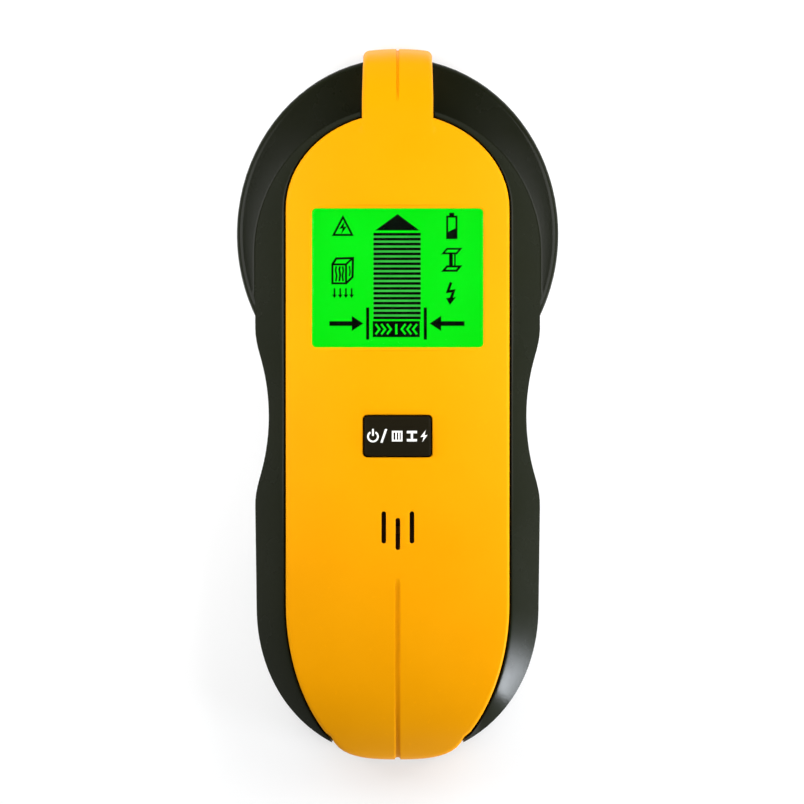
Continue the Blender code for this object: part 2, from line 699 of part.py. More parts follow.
def make_front_cover():
    """Yellow shell: crowned panel, marking nose and chin, with its openings and bosses."""
    outer = radii(panel_plan)
    thin = moved(outer, -1.8 * MM)
    rings = [ring(scaled(thin, share), cover_underside) for share in reversed(DOME_SHARES)]
    rings.append(ring(thin, cover_underside))
    rings += [cover_bottom(outer, thin), cover_bottom(outer, outer)]
    rings.append(ring(outer, cover_edge))
    rings.append(ring(moved(outer, -0.2 * MM), lambda x, y: cover_top(x, y) - 0.2 * MM))
    crowned = moved(outer, -0.7 * MM)
    rings.append(ring(crowned, cover_top))
    rings += [ring(scaled(crowned, share), cover_top) for share in DOME_SHARES]
    cover = part("front_cover", loft(rings), YELLOW)

    join(cover, prism_across("nose_solid", nose_profile(), NOSE_HALF))
    cut(cover, cutter("nose_hollow", box((-6.1 * MM, 69.7 * MM, 8.0 * MM),
                                         (6.1 * MM, 76.6 * MM, 20.0 * MM))))

    into_panel = 0.8 * MM
    for i, (x, y) in enumerate(COVER_SCREWS):
        boss = rod((x, y), 2.5 * MM, 12.0 * MM + GAP, cover_underside(x, y) + into_panel, 16)
        join(cover, cutter("cover_boss_%d" % i, boss))
    for i, (x, y) in enumerate(BOARD_SCREWS):
        boss = rod((x, y), 2.1 * MM, board_top(), cover_underside(x, y) + into_panel, 16)
        join(cover, cutter("board_boss_%d" % i, boss))
    for i, (x, y) in enumerate(COVER_SCREWS):
        cut(cover, cutter("cover_bore_%d" % i, rod((x, y), 1.65 * MM, 10.0 * MM, 23.0 * MM, 16)))
    for i, (x, y) in enumerate(BOARD_SCREWS):
        cut(cover, cutter("board_bore_%d" % i, rod((x, y), 1.15 * MM, 18.0 * MM, 26.0 * MM, 12)))

    cut(cover,
        opening("window", (0.0, WINDOW_Y), WINDOW, 0.0, 1.0 * MM),
        cutter("lens_seat", box((-21.9 * MM, WINDOW_Y - 18.2 * MM, 20.0 * MM),
                                (21.9 * MM, WINDOW_Y + 18.2 * MM, 26.3 * MM))),
        opening("key_opening", (0.0, KEY_Y), KEY, GAP, 0.9 * MM))
    for i, centre in enumerate(SOUND_SLOTS):
        corner = SOUND_SLOT[0] / 2.0 - 0.01 * MM
        cut(cover, opening("sound_slot_%d" % i, centre, SOUND_SLOT, 0.0, corner, 3))
    cut(cover,
        prism_across("chin_groove", chin_groove_profile(), CHIN_GROOVE / 2.0),
        prism_across("nose_groove", nose_groove_profile(), NOSE_GROOVE / 2.0))
    smooth(cover)


def make_battery_door():
    """Sliding door: a plate with a tongue in each rail and a ribbed thumb recess."""
    low_z, high_z = 0.3 * MM, FLOOR - GAP
    plate = box((-14.5 * MM, -90.0 * MM, low_z), (14.5 * MM, DOOR_TOP_Y, high_z))
    door = part("battery_door", plate, BLACK)
    join(door, cutter("door_tongues", box((-15.6 * MM, -73.0 * MM, 1.2 * MM),
                                          (15.6 * MM, DOOR_TOP_Y, high_z))))
    outline = column(base_plan, -1.0 * MM, 5.0 * MM, grow=-0.1 * MM)
    combine(door, cutter("door_plan", outline), "INTERSECT")
    for i in range(THUMB_RIBS):
        y = THUMB_RIB_Y + i * 2.0 * THUMB_RIB
        cut(door, cutter("thumb_rib_%d" % i, box((-6.0 * MM, y, -1.0 * MM),
                                                 (6.0 * MM, y + THUMB_RIB, 0.8 * MM))))


# ---- Fasteners ------------------------------------------------------------

def make_screw(name, centre, head_radius, head_z, head_height, shaft_radius, tip_z):
    """A pan-head screw pointing up, with a cross recess in its underside."""
    x, y = centre
    shaft_top = head_z + head_height
    head = rod((x, y), head_radius, head_z, shaft_top, 20)
    screw = part(name, head, STEEL)
    join(screw, cutter(name + "_shaft", rod((x, y), shaft_radius, shaft_top - 0.3 * MM, tip_z, 12)))
    slot = head_radius * 0.62
    blade = head_radius * 0.14
    depth = head_height * 0.55
    low_z, high_z = head_z - MM, head_z + depth
    cut(screw,
        cutter(name + "_slot_x", box((x - slot, y - blade, low_z), (x + slot, y + blade, high_z))),
        cutter(name + "_slot_y", box((x - blade, y - slot, low_z), (x + blade, y + slot, high_z))))
    smooth(screw)


def make_screws():
    for i, centre in enumerate(COVER_SCREWS, 1):
        make_screw("housing_screw_%d" % i, centre, 2.6 * MM, 0.9 * MM, 2.1 * MM, 1.35 * MM, 21.5 * MM)
    for i, centre in enumerate(BOARD_SCREWS, 1):
        make_screw("board_screw_%d" % i, centre, 1.9 * MM, BOARD_Z - 1.7 * MM, 1.4 * MM, 0.85 * MM,
                   25.0 * MM)
    for i, centre in enumerate(SENSOR_SCREWS, 1):
        name = "sensor_screw_%d" % i
        screw = part(name, rod(centre, 1.9 * MM, 4.8 * MM, 6.0 * MM, 16), STEEL)
        join(screw, cutter(name + "_shaft", rod(centre, 0.85 * MM, 2.4 * MM, 5.0 * MM, 12)))
        smooth(screw)


# ---- Display --------------------------------------------------------------

def make_display():
    """Lens, LCD cell, frame, light guide, LEDs and contact strips under the window."""
    half_x, half_y = WINDOW[0] / 2.0 - GAP, WINDOW[1] / 2.0 - GAP
    lens = part("display_lens", box((-21.5 * MM, WINDOW_Y - 17.8 * MM, 25.0 * MM),
                                    (21.5 * MM, WINDOW_Y + 17.8 * MM, 26.0 * MM)), CLEAR)
    join(lens, cutter("lens_plateau", rounded_box((-half_x, WINDOW_Y - half_y, 25.5 * MM),
                                                  (half_x, WINDOW_Y + half_y, 28.5 * MM), 0.7 * MM)))
    part("lcd_glass", box((-20.8 * MM, WINDOW_Y - 17.2 * MM, 23.3 * MM),
                          (20.8 * MM, WINDOW_Y + 17.2 * MM, 24.7 * MM)), LCD_GREEN)
    bezel = part("lcd_bezel", box((-22.3 * MM, WINDOW_Y - 18.6 * MM, 21.9 * MM),
                                  (22.3 * MM, WINDOW_Y + 18.6 * MM, 24.7 * MM)), WHITE)
    cut(bezel, cutter("bezel_opening", box((-21.1 * MM, WINDOW_Y - 17.5 * MM, 20.0 * MM),
                                           (21.1 * MM, WINDOW_Y + 17.5 * MM, 30.0 * MM))))
    part("light_guide", box((-18.6 * MM, WINDOW_Y - 14.6 * MM, 21.9 * MM),
                            (18.6 * MM, WINDOW_Y + 14.6 * MM, 23.0 * MM)), GUIDE)
    for side, name in ((-1, "backlight_led_left"), (1, "backlight_led_right")):
        near, far = sorted((side * 18.9 * MM, side * 20.5 * MM))
        part(name, box((near, WINDOW_Y - 1.5 * MM, 21.9 * MM),
                       (far, WINDOW_Y + 1.5 * MM, 22.9 * MM)), WHITE)
    for side, name in ((-1, "zebra_strip_lower"), (1, "zebra_strip_upper")):
        near, far = sorted((WINDOW_Y + side * 15.0 * MM, WINDOW_Y + side * 17.0 * MM))
        part(name, box((-19.0 * MM, near, 21.9 * MM), (19.0 * MM, far, 23.0 * MM)), RUBBER)


# ---- Key and switch -------------------------------------------------------

def make_key():
    """Key cap with a retaining flange and a stem that presses the switch."""
    half_x, half_y = KEY[0] / 2.0, KEY[1] / 2.0
    top_z = crest(KEY_Y) + 0.4 * MM
    cap = part("button_cap", rounded_box((-half_x, KEY_Y - half_y, 25.6 * MM),
                                         (half_x, KEY_Y + half_y, top_z), 0.7 * MM), KEY_BLACK)
    join(cap, cutter("key_flange", box((-half_x - 1.2 * MM, KEY_Y - half_y - 1.2 * MM, 25.6 * MM),
                                       (half_x + 1.2 * MM, KEY_Y + half_y + 1.2 * MM, 26.6 * MM))))
    cut(cap, cutter("key_hollow", box((-half_x + 1.4 * MM, KEY_Y - half_y + 1.4 * MM, 20.0 * MM),
                                      (half_x - 1.4 * MM, KEY_Y + half_y - 1.4 * MM, top_z - 1.6 * MM))))
    join(cap, cutter("key_stem", rod((0.0, KEY_Y), 1.8 * MM, 25.3 * MM, top_z - 1.0 * MM, 16)))

    switch = part("switch_body", box((-3.1 * MM, KEY_Y - 3.1 * MM, 21.9 * MM),
                                     (3.1 * MM, KEY_Y + 3.1 * MM, 24.4 * MM)), CHIP)
    cut(switch, cutter("plunger_bore", rod((0.0, KEY_Y), 2.0 * MM, 22.5 * MM, 30.0 * MM, 16)))
    part("switch_plunger", rod((0.0, KEY_Y), 1.65 * MM, 23.4 * MM, 25.0 * MM, 16), WHITE)


# ---- Boards and what is soldered to them ----------------------------------

def make_main_board():
    low_y, high_y = BOARD_Y
    blank = rounded_box((-BOARD_HALF, low_y, BOARD_Z),
                        (BOARD_HALF, high_y, BOARD_Z + BOARD_THICKNESS), 2.0 * MM)
    board = part("main_board", blank, BOARD_GREEN)
    for i, (x, y) in enumerate(BOARD_SCREWS):
        cut(board, cutter("board_hole_%d" % i, rod((x, y), 1.2 * MM, 15.0 * MM, 25.0 * MM, 12)))

    low_z = board_top()
    for name, (x, y), (width, depth, height) in CHIPS:
        part(name, box((x - width / 2.0, y - depth / 2.0, low_z),
                       (x + width / 2.0, y + depth / 2.0, low_z + height)), CHIP)
    crystal = rounded_box((-17.5 * MM, -16.8 * MM, low_z),
                          (-9.0 * MM, -13.2 * MM, low_z + 2.4 * MM), 1.6 * MM)
    smooth(part("crystal", crystal, SILVER))
    can = [(0.0, 4.2 * MM), (2.3 * MM, 4.2 * MM), (2.5 * MM, 4.0 * MM), (2.5 * MM, 1.0 * MM),
           (2.35 * MM, 0.8 * MM), (2.5 * MM, 0.6 * MM), (2.5 * MM, 0.0), (0.0, 0.0)]
    for i, x in enumerate((-11.2 * MM, 11.2 * MM), 1):
        turned("capacitor_%d" % i, raised(can, low_z), (x, -21.5 * MM), SILVER, 20)


def make_buzzer():
    """Open-topped sounder with its disc inside, under the slots."""
    low_z = board_top()
    centre = (0.0, -28.7 * MM)
    case = [(0.9 * MM, 3.4 * MM), (6.0 * MM, 3.4 * MM), (6.2 * MM, 3.2 * MM), (6.2 * MM, 0.0),
            (5.4 * MM, 0.0), (5.4 * MM, 2.6 * MM), (0.9 * MM, 2.6 * MM), (0.9 * MM, 3.4 * MM)]
    turned("buzzer_case", raised(case, low_z), centre, CHIP)
    disc = [(0.0, 0.6 * MM), (5.0 * MM, 0.6 * MM), (5.0 * MM, 0.3 * MM), (0.0, 0.3 * MM)]
    turned("buzzer_disc", raised(disc, low_z), centre, BRASS)


def make_sensor():
    """Sensor board over three plates on the floor of the head, with the search coil on top."""
    plate_low, plate_high = FLOOR + 0.25 * MM, FLOOR + 0.5 * MM
    board_low = plate_high + 0.25 * MM
    board_high = board_low + SENSOR_BOARD_THICKNESS
    blank = column(flange_plan, board_low, board_high, -5.5 * MM, (30.0 * MM, 46.0 * MM))
    board = part("sensor_board", blank, BOARD_GREEN)
    for i, centre in enumerate(COVER_SCREWS[:2]):
        cut(board, cutter("sensor_clear_%d" % i, rod(centre, 3.8 * MM, 0.0, 10.0 * MM)))
    for i, centre in enumerate(SENSOR_SCREWS):
        cut(board, cutter("sensor_hole_%d" % i, rod(centre, 1.15 * MM, 0.0, 10.0 * MM, 12)))
    for name, low_x, high_x in SENSOR_PLATES:
        part(name, rounded_box((low_x, 18.0 * MM, plate_low), (high_x, 50.0 * MM, plate_high),
                               2.0 * MM, 3), COPPER)

    base = board_high + GAP
    centre = (0.0, 36.0 * MM)
    bobbin = [(17.0 * MM, 5.0 * MM), (17.0 * MM, 4.0 * MM), (13.6 * MM, 4.0 * MM),
              (13.6 * MM, 1.0 * MM), (17.0 * MM, 1.0 * MM), (17.0 * MM, 0.0),
              (12.4 * MM, 0.0), (12.4 * MM, 5.0 * MM), (17.0 * MM, 5.0 * MM)]
    turned("coil_bobbin", raised(bobbin, base), centre, WHITE)
    winding = [(13.9 * MM, 3.7 * MM), (16.6 * MM, 3.7 * MM), (16.6 * MM, 1.3 * MM),
               (13.9 * MM, 1.3 * MM), (13.9 * MM, 3.7 * MM)]
    turned("search_coil", raised(winding, base), centre, COPPER)

    thickness = 0.3 * MM
    outer = [(9.0 * MM, base), (6.5 * MM, base + 1.0 * MM), (3.0 * MM, 9.0 * MM),
             (3.0 * MM, 17.0 * MM), (6.0 * MM, BOARD_Z - GAP)]
    inner = [(y + thickness, z) for y, z in reversed(outer)]
    prism_across("ribbon_cable", outer + inner, 4.0 * MM, WHITE)


# ---- Battery and its leads ------------------------------------------------

def make_battery():
    width, length, height = BATTERY
    top_y = BATTERY_LOW_Y + length
    middle_z = BATTERY_Z + height / 2.0
    cell = part("battery", box((-width / 2.0, BATTERY_LOW_Y, BATTERY_Z),
                               (width / 2.0, top_y, BATTERY_Z + height)), CELL)
    edges = cell.modifiers.new("edges", "BEVEL")
    edges.width = 1.6 * MM
    edges.segments = 3
    for side, name, radius in ((-1, "battery_terminal_plus", 2.85 * MM),
                               (1, "battery_terminal_minus", 4.0 * MM)):
        stud = rod_along_y(side * TERMINAL_X, middle_z, radius, top_y + 0.1 * MM, top_y + 2.1 * MM)
        smooth(part(name, stud, STEEL))

    back_y = top_y + 4.9 * MM
    snap = part("snap_connector", box((-12.6 * MM, top_y + 0.6 * MM, middle_z - 5.6 * MM),
                                      (12.6 * MM, back_y, middle_z + 5.6 * MM)), RUBBER)
    rounding = snap.modifiers.new("rounding", "BEVEL")
    rounding.width = 1.0 * MM
    rounding.segments = 2
    for side, name, radius in ((-1, "socket_plus", 3.2 * MM), (1, "socket_minus", 4.35 * MM)):
        socket = rod_along_y(side * TERMINAL_X, middle_z, radius, top_y - MM, top_y + 2.5 * MM)
        cut(snap, cutter(name, socket))
    for name, x, finish in (("lead_red", -8.0 * MM, RED), ("lead_black", 8.0 * MM, CHIP)):
        start = Vector((x, back_y + GAP, middle_z + 2.0 * MM))
        end = Vector((x * 0.6, -11.0 * MM, BOARD_Z - GAP))
        pull_out = start + Vector((0.0, 9.0 * MM, 0.0))
        pull_up = end - Vector((0.0, 0.0, 7.0 * MM))
        points = []
        for i in range(13):
            t = i / 12.0
            s = 1.0 - t
            points.append(s ** 3 * start + 3.0 * s * s * t * pull_out
                          + 3.0 * s * t * t * pull_up + t ** 3 * end)
        wire(name, points, 0.7 * MM, finish)


make_rear_cover()
make_front_housing()
make_front_cover()
make_battery_door()
make_screws()
make_display()
make_key()
make_main_board()
make_buzzer()
make_sensor()
make_battery()
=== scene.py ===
"""Looks of the stud finder: shells, display artwork, key print, materials, light and camera."""

from math import atan2, cos, hypot, pi, radians, sin, sqrt, tan

import bmesh
import bpy
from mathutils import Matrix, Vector


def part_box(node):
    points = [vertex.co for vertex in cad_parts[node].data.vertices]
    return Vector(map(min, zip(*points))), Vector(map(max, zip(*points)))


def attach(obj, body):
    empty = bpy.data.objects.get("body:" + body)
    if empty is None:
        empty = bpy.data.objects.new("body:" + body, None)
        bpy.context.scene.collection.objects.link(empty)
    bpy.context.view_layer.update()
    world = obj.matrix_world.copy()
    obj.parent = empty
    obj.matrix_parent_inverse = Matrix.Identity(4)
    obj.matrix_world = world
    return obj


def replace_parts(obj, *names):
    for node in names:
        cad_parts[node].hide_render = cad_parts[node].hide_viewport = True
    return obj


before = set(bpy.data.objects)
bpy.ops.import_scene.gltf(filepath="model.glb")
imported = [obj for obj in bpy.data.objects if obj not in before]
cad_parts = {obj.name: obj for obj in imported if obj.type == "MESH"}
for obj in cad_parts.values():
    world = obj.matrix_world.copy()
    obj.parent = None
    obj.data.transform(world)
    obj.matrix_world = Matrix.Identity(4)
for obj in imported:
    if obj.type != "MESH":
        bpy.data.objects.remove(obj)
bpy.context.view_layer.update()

MM = 0.001
QUARTER = radians(90.0)

# ---- Sizes, from the frame where it has them ----

COVER_LOW, COVER_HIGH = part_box("front_cover")
HOUSING_LOW, HOUSING_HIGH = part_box("front_housing")
DOOR_LOW, DOOR_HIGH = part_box("battery_door")
LENS_LOW, LENS_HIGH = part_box("display_lens")
KEY_LOW, KEY_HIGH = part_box("button_cap")
LCD_TOP_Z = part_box("lcd_glass")[1].z

TOP_Z = 30.0 * MM
GAP = 0.3 * MM
SPLIT_Z = HOUSING_LOW.z - GAP
FLANGE_TOP_Z = 9.0 * MM
FLOOR = 2.3 * MM
WALL = 2.0 * MM
SHELL_GAP = 0.35 * MM
PROUD = 0.6 * MM
SEAT_DEPTH = 2.0 * MM
LEDGE = 1.2 * MM
LEDGE_THICKNESS = 2.0 * MM

FLANGE_A = HOUSING_HIGH.x
FLANGE_B = 40.2 * MM
FLANGE_Y = HOUSING_HIGH.y - FLANGE_B
FLANGE_EDGE = 1.4 * MM
FILLET = 0.7 * MM
SOFT_EDGE = 0.25 * MM

BODY_HALF = 32.4 * MM
BODY_TOP_Y = 34.4 * MM
BODY_TOP_B = 33.0 * MM
WAIST_RADIUS = 48.3 * MM
WAIST_CENTRE = (77.6 * MM, -2.8 * MM)
HIP_Y = -23.0 * MM
GRIP_HALF = 32.1 * MM
GRIP_Y = -46.0 * MM
GRIP_B = 34.6 * MM
GRIP_POWER = 2.1

PANEL_HALF = COVER_HIGH.x
PANEL_TOP_Y = 44.3 * MM
PANEL_TOP_B = 21.8 * MM
PANEL_LOW_Y = -45.5 * MM
PANEL_LOW_B = 38.5 * MM
CHIN_HALF = 15.3 * MM
CHIN_Y = -73.0 * MM
CHIN_B = CHIN_Y - COVER_LOW.y
CHIN_POWER = 2.8
CHIN_BLEND = 1.8 * MM
CHIN_START_Y = -74.6 * MM
CHIN_BOTTOM_Z = 2.6 * MM

CREST_Y = 22.0 * MM
CREST_DROP_UP = 1.6 * MM
CREST_DROP_DOWN = 1.4 * MM
CREST_RUN_DOWN = 50.0 * MM
CROWN_DROP = 1.6 * MM
CHIN_ROLL_Y = -62.0 * MM
CHIN_ROLL_LENGTH = 19.3 * MM
CHIN_ROLL_DROP = 12.0 * MM

NOSE_HALF = 8.1 * MM
NOSE_ROOT_Y = 57.0 * MM
NOSE_NOTCH_Y = 60.0 * MM
NOSE_BACK_Y = 67.9 * MM
NOSE_FALL_Y = 65.5 * MM
NOSE_FALL_RUN = 12.5 * MM
NOSE_FALL = 4.9 * MM
NOSE_BROW_Y = 77.0 * MM
NOSE_FACE_Y = 79.25 * MM
NOSE_HOLLOW_Y = (69.7 * MM, 76.6 * MM)
NOSE_GROOVE = 0.7 * MM
CHIN_GROOVE = 1.25 * MM
CHIN_GROOVE_DEPTH = 0.45 * MM
NOSE_GROOVE_DEPTH = 0.33 * MM
GROOVE_LIP = 0.22 * MM
GROOVE_STEPS = 8
SHOULDER_RISE = 6.4 * MM      # height of the shoulders, at most
SHOULDER_PITCH = 0.95         # their rise for each unit of run, at most
SHOULDER_DRAFT = 0.9          # 1 is a flat slope, 0 a round one
RIM_WIDTH = 0.9 * MM

WINDOW = (38.95 * MM, 31.6 * MM)
WINDOW_Y = (LENS_LOW.y + LENS_HIGH.y) / 2.0
KEY = (15.1 * MM, 9.0 * MM)
KEY_Y = (KEY_LOW.y + KEY_HIGH.y) / 2.0
SOUND_SLOT = (1.05 * MM, 7.3 * MM)
SOUND_SLOTS = ((-3.15 * MM, -28.1 * MM), (0.05 * MM, -29.6 * MM), (3.25 * MM, -28.1 * MM))
DOOR_TOP_Y = DOOR_HIGH.y
DOOR_HALF = 14.5 * MM
TONGUE_HALF = 15.6 * MM
TONGUE_LOW_Y = -73.0 * MM
BAY_HALF = 13.65 * MM
BAY_Y = (-70.9 * MM, -16.3 * MM)

BEYOND_Y = -90.0 * MM         # past the chin end, for cutters
ABOVE_Z = 40.0 * MM           # clear over everything, for cutters
INSIDE_Z = 20.0 * MM          # inside the shells, where the openings' cutters start

END_STEPS = 40
SIDE_STEPS = 60
LOW_SIDE_STEPS = 18
CHIN_STEPS = 26
SHOULDER_STEPS = 18
FLANGE_STEPS = 12
FILLET_STEPS = 4
ROUND_STEPS = 48
CORNER_STEPS = 8
DOME_SHARES = (0.985, 0.965, 0.94, 0.91, 0.87, 0.82, 0.76, 0.68, 0.58, 0.46, 0.32, 0.16, 0.0)
BODY_SPINE = (-46.0 * MM, 44.0 * MM)
CHIN_SPINE = (-78.3 * MM, -72.8 * MM)
SHARP_ANGLE = radians(38.0)
WELD = 0.004 * MM
SLIVER = 0.001 * MM


# ---- Material building ----

class Shader:
    """A Principled material with object-space noise for its colour, gloss and grain."""

    def __init__(self, name):
        self.material = bpy.data.materials.new(name)
        self.material.use_nodes = True
        self.tree = self.material.node_tree
        self.body = self.tree.nodes["Principled BSDF"]
        self.place = self.tree.nodes.new("ShaderNodeTexCoord").outputs["Object"]
        self.bump = None

    def fill(self, socket, value):
        """Set a socket to a constant, or link another node's output to it."""
        if isinstance(value, bpy.types.NodeSocket):
            self.tree.links.new(value, socket)
        elif socket.type == "RGBA":
            socket.default_value = (*value, 1.0)
        else:
            socket.default_value = value

    def add(self, kind, inputs, **settings):
        node = self.tree.nodes.new(kind)
        for key, value in settings.items():
            setattr(node, key, value)
        for key, value in inputs.items():
            self.fill(node.inputs[key], value)
        return node

    def set(self, **values):
        """Fill sockets of the Principled shader, with underscores for the spaces in their names."""
        for key, value in values.items():
            self.fill(self.body.inputs[key.replace("_", " ")], value)

    def stretch(self, amounts):
        """Object coordinates scaled by a different amount on each axis."""
        inputs = {"Scale": amounts, "Vector": self.place}
        return self.add("ShaderNodeMapping", inputs).outputs["Vector"]

    def noise(self, scale, detail=3.0, rough=0.55, vector=None):
        return self.add("ShaderNodeTexNoise", {
            "Scale": scale, "Detail": detail, "Roughness": rough,
            "Vector": vector or self.place}).outputs["Fac"]

    def ramp(self, source, low, high, start=0.0, end=1.0):
        """Map a value between two limits to a new range."""
        return self.add("ShaderNodeMapRange", {
            "From Min": low, "From Max": high, "To Min": start, "To Max": end,
            "Value": source}).outputs["Result"]

    def blend(self, factor, first, second):
        """A colour between two, each a triple or another node's output."""
        return self.add("ShaderNodeMix", {"Factor": factor, "A": first, "B": second},
                        data_type="RGBA").outputs["Result"]

    def relief(self, height, distance, strength=1.0):
        """Stack a bump on the surface normal."""
        node = self.add("ShaderNodeBump", {
            "Distance": distance, "Strength": strength, "Height": height})
        if self.bump:
            self.fill(node.inputs["Normal"], self.bump)
        self.bump = node.outputs["Normal"]
        self.set(Normal=self.bump)


def moulded(name, base, shade, rough, grain=0.012, grain_scale=2600.0, scuff=0.10,
            specular=0.5):
    """Moulded plastic: faint cloudy colour, spark-eroded grain, scuffs and handled gloss."""
    s = Shader(name)
    cloud = s.ramp(s.noise(38.0, 4.0), 0.35, 0.68)
    dust = s.ramp(s.noise(900.0, 2.0), 0.66, 0.80, 0.0, 0.25)
    pale = tuple(min(c * 1.2, 1.0) for c in base)
    s.set(Base_Color=s.blend(dust, s.blend(cloud, base, shade), pale))
    gloss = rough - scuff * 0.5
    s.set(Roughness=s.ramp(s.noise(75.0, 5.0), 0.40, 0.70, rough + scuff * 0.5, gloss))
    s.relief(s.noise(grain_scale, 2.0), grain * MM)
    scratches = s.ramp(s.noise(160.0, 2.0, 0.4, s.stretch((14.0, 1.0, 3.0))), 0.70, 0.78)
    s.relief(scratches, -0.004 * MM, 0.5)
    s.set(Specular_IOR_Level=specular)
    return s.material


def metal(name, base, shade, rough, streak=(1.0, 1.0, 12.0), scale=900.0):
    """Plated or drawn metal with directional streaks and dull patches."""
    s = Shader(name)
    s.set(Base_Color=s.blend(s.ramp(s.noise(220.0, 4.0), 0.35, 0.70), base, shade),
          Roughness=s.ramp(s.noise(130.0, 4.0), 0.35, 0.70, rough - 0.08, rough + 0.12),
          Metallic=1.0)
    s.relief(s.noise(scale, 2.0, 0.5, s.stretch(streak)), 0.006 * MM)
    return s.material


def lit_display():
    """Backlit display cell: an even green glow with faint patches."""
    s = Shader("display_glow")
    patch = s.ramp(s.noise(45.0, 3.0), 0.30, 0.70)
    s.set(Emission_Color=s.blend(patch, (0.0, 0.840, 0.003), (0.0, 0.890, 0.006)),
          Base_Color=s.blend(patch, (0.0, 0.020, 0.0), (0.0, 0.024, 0.0)),
          Roughness=s.ramp(s.noise(400.0), 0.3, 0.7, 0.30, 0.45),
          Emission_Strength=1.0, Specular_IOR_Level=0.05)
    return s.material


def display_ink():
    """Switched-on segments: near-black with a faint green."""
    s = Shader("display_segment")
    cloud = s.ramp(s.noise(700.0), 0.35, 0.7)
    s.set(Base_Color=s.blend(cloud, (0.0006, 0.0020, 0.0006), (0.0012, 0.0040, 0.0012)),
          Roughness=s.ramp(s.noise(500.0), 0.3, 0.7, 0.45, 0.60),
          Specular_IOR_Level=0.02)
    return s.material


def display_shade():
    """Half-lit ground between the bars."""
    s = Shader("display_half_tone")
    tone = s.ramp(s.noise(300.0), 0.3, 0.7)
    s.set(Emission_Color=s.blend(tone, (0.030, 0.50, 0.045), (0.040, 0.58, 0.055)),
          Base_Color=s.blend(tone, (0.002, 0.010, 0.002), (0.003, 0.012, 0.003)),
          Emission_Strength=1.0, Specular_IOR_Level=0.05, Roughness=0.4)
    return s.material


def clear_plastic():
    """Polished acrylic with the faintest polishing haze."""
    s = Shader("lens_acrylic")
    haze = s.ramp(s.noise(60.0), 0.3, 0.7)
    s.set(Base_Color=s.blend(haze, (1.0, 1.0, 1.0), (0.96, 0.99, 0.97)),
          Roughness=s.ramp(s.noise(120.0, 4.0), 0.45, 0.75, 0.01, 0.05),
          Transmission_Weight=1.0, IOR=1.22)
    s.relief(s.noise(30.0), 0.002 * MM, 0.4)
    return s.material


def circuit_board():
    """Green solder mask over tracks, with a laminate weave."""
    s = Shader("board_laminate")
    tracks = s.add("ShaderNodeTexBrick", {
        "Scale": 260.0, "Mortar Size": 0.035, "Vector": s.stretch((1.0, 1.6, 1.0))}).outputs["Fac"]
    weave = s.ramp(s.noise(1500.0, 2.0), 0.3, 0.7)
    mask = s.blend(weave, (0.008, 0.110, 0.030), (0.012, 0.140, 0.040))
    s.set(Base_Color=s.blend(tracks, mask, (0.030, 0.240, 0.070)),
          Roughness=s.ramp(s.noise(90.0), 0.3, 0.7, 0.28, 0.42))
    s.relief(tracks, 0.02 * MM)
    return s.material


def printed_white():
    """Pad-printed white with slightly thin patches."""
    s = Shader("pad_print")
    thin = s.ramp(s.noise(1400.0, 3.0), 0.40, 0.72)
    s.set(Base_Color=s.blend(thin, (0.86, 0.86, 0.84), (0.66, 0.66, 0.64)),
          Roughness=s.ramp(s.noise(700.0), 0.3, 0.7, 0.50, 0.65))
    s.relief(s.noise(3500.0, 2.0), 0.005 * MM)
    return s.material


def wound_copper():
    """Enamelled wire laid in turns around the coil."""
    s = Shader("wound_copper")
    turns = s.add("ShaderNodeTexWave", {"Scale": 700.0, "Distortion": 0.6, "Vector": s.place},
                  bands_direction="Z").outputs["Fac"]
    # Colour follows the turns' relief: the darker copper in the grooves between turns is painted
    # shade, the lighter copper on their crowns is painted highlight.
    s.set(Base_Color=s.blend(turns, (0.42, 0.12, 0.04), (0.78, 0.30, 0.12)),
          Roughness=s.ramp(turns, 0.0, 1.0, 0.42, 0.24),
          Metallic=1.0)
    s.relief(turns, 0.08 * MM)
    return s.material


YELLOW = moulded("yellow_abs", (0.705, 0.285, 0.0003), (0.680, 0.270, 0.0003), 0.42,
                 grain=0.010, grain_scale=2400.0, scuff=0.08, specular=0.04)
BLACK = moulded("black_abs", (0.0060, 0.0075, 0.0028), (0.0078, 0.0092, 0.0038), 0.24,
                grain=0.011, grain_scale=1900.0, scuff=0.08, specular=0.12)
KEY_BLACK = moulded("key_black", (0.0070, 0.0055, 0.0020), (0.0095, 0.0075, 0.0030), 0.50,
                    grain=0.006, grain_scale=3200.0, scuff=0.10, specular=0.04)
WHITE = moulded("white_nylon", (0.72, 0.72, 0.69), (0.64, 0.63, 0.60), 0.50)
RESIN = moulded("black_resin", (0.022, 0.022, 0.024), (0.034, 0.034, 0.034), 0.55, grain=0.020)
RUBBER = moulded("grey_rubber", (0.050, 0.050, 0.050), (0.075, 0.073, 0.070), 0.75,
                 grain=0.020, grain_scale=1500.0)
RED = moulded("red_sleeve", (0.48, 0.012, 0.010), (0.40, 0.010, 0.010), 0.45)
DARK_SLEEVE = moulded("black_sleeve", (0.015, 0.015, 0.015), (0.022, 0.022, 0.022), 0.45)
FROSTED = moulded("frosted_acrylic", (0.60, 0.86, 0.62), (0.55, 0.80, 0.58), 0.40)
JACKET = moulded("battery_jacket", (0.030, 0.036, 0.050), (0.045, 0.050, 0.065), 0.30,
                 grain=0.004, grain_scale=2400.0, scuff=0.10)
STEEL = metal("zinc_steel", (0.52, 0.52, 0.53), (0.42, 0.42, 0.43), 0.34)
CAN = metal("drawn_can", (0.70, 0.70, 0.71), (0.60, 0.60, 0.61), 0.28)
# Brass base colour kept far darker than bare brass so the disc seen through the middle sound slot
# is as dark as the slot: painted shade.
BRASS = metal("shade_darkened_brass", (0.26, 0.18, 0.08), (0.20, 0.13, 0.06), 0.42)
COPPER = metal("bare_copper", (0.74, 0.32, 0.16), (0.60, 0.24, 0.12), 0.32)
COIL = wound_copper()
BOARD = circuit_board()
GLOW = lit_display()
INK = display_ink()
HALF_TONE = display_shade()
LENS = clear_plastic()
PRINT = printed_white()

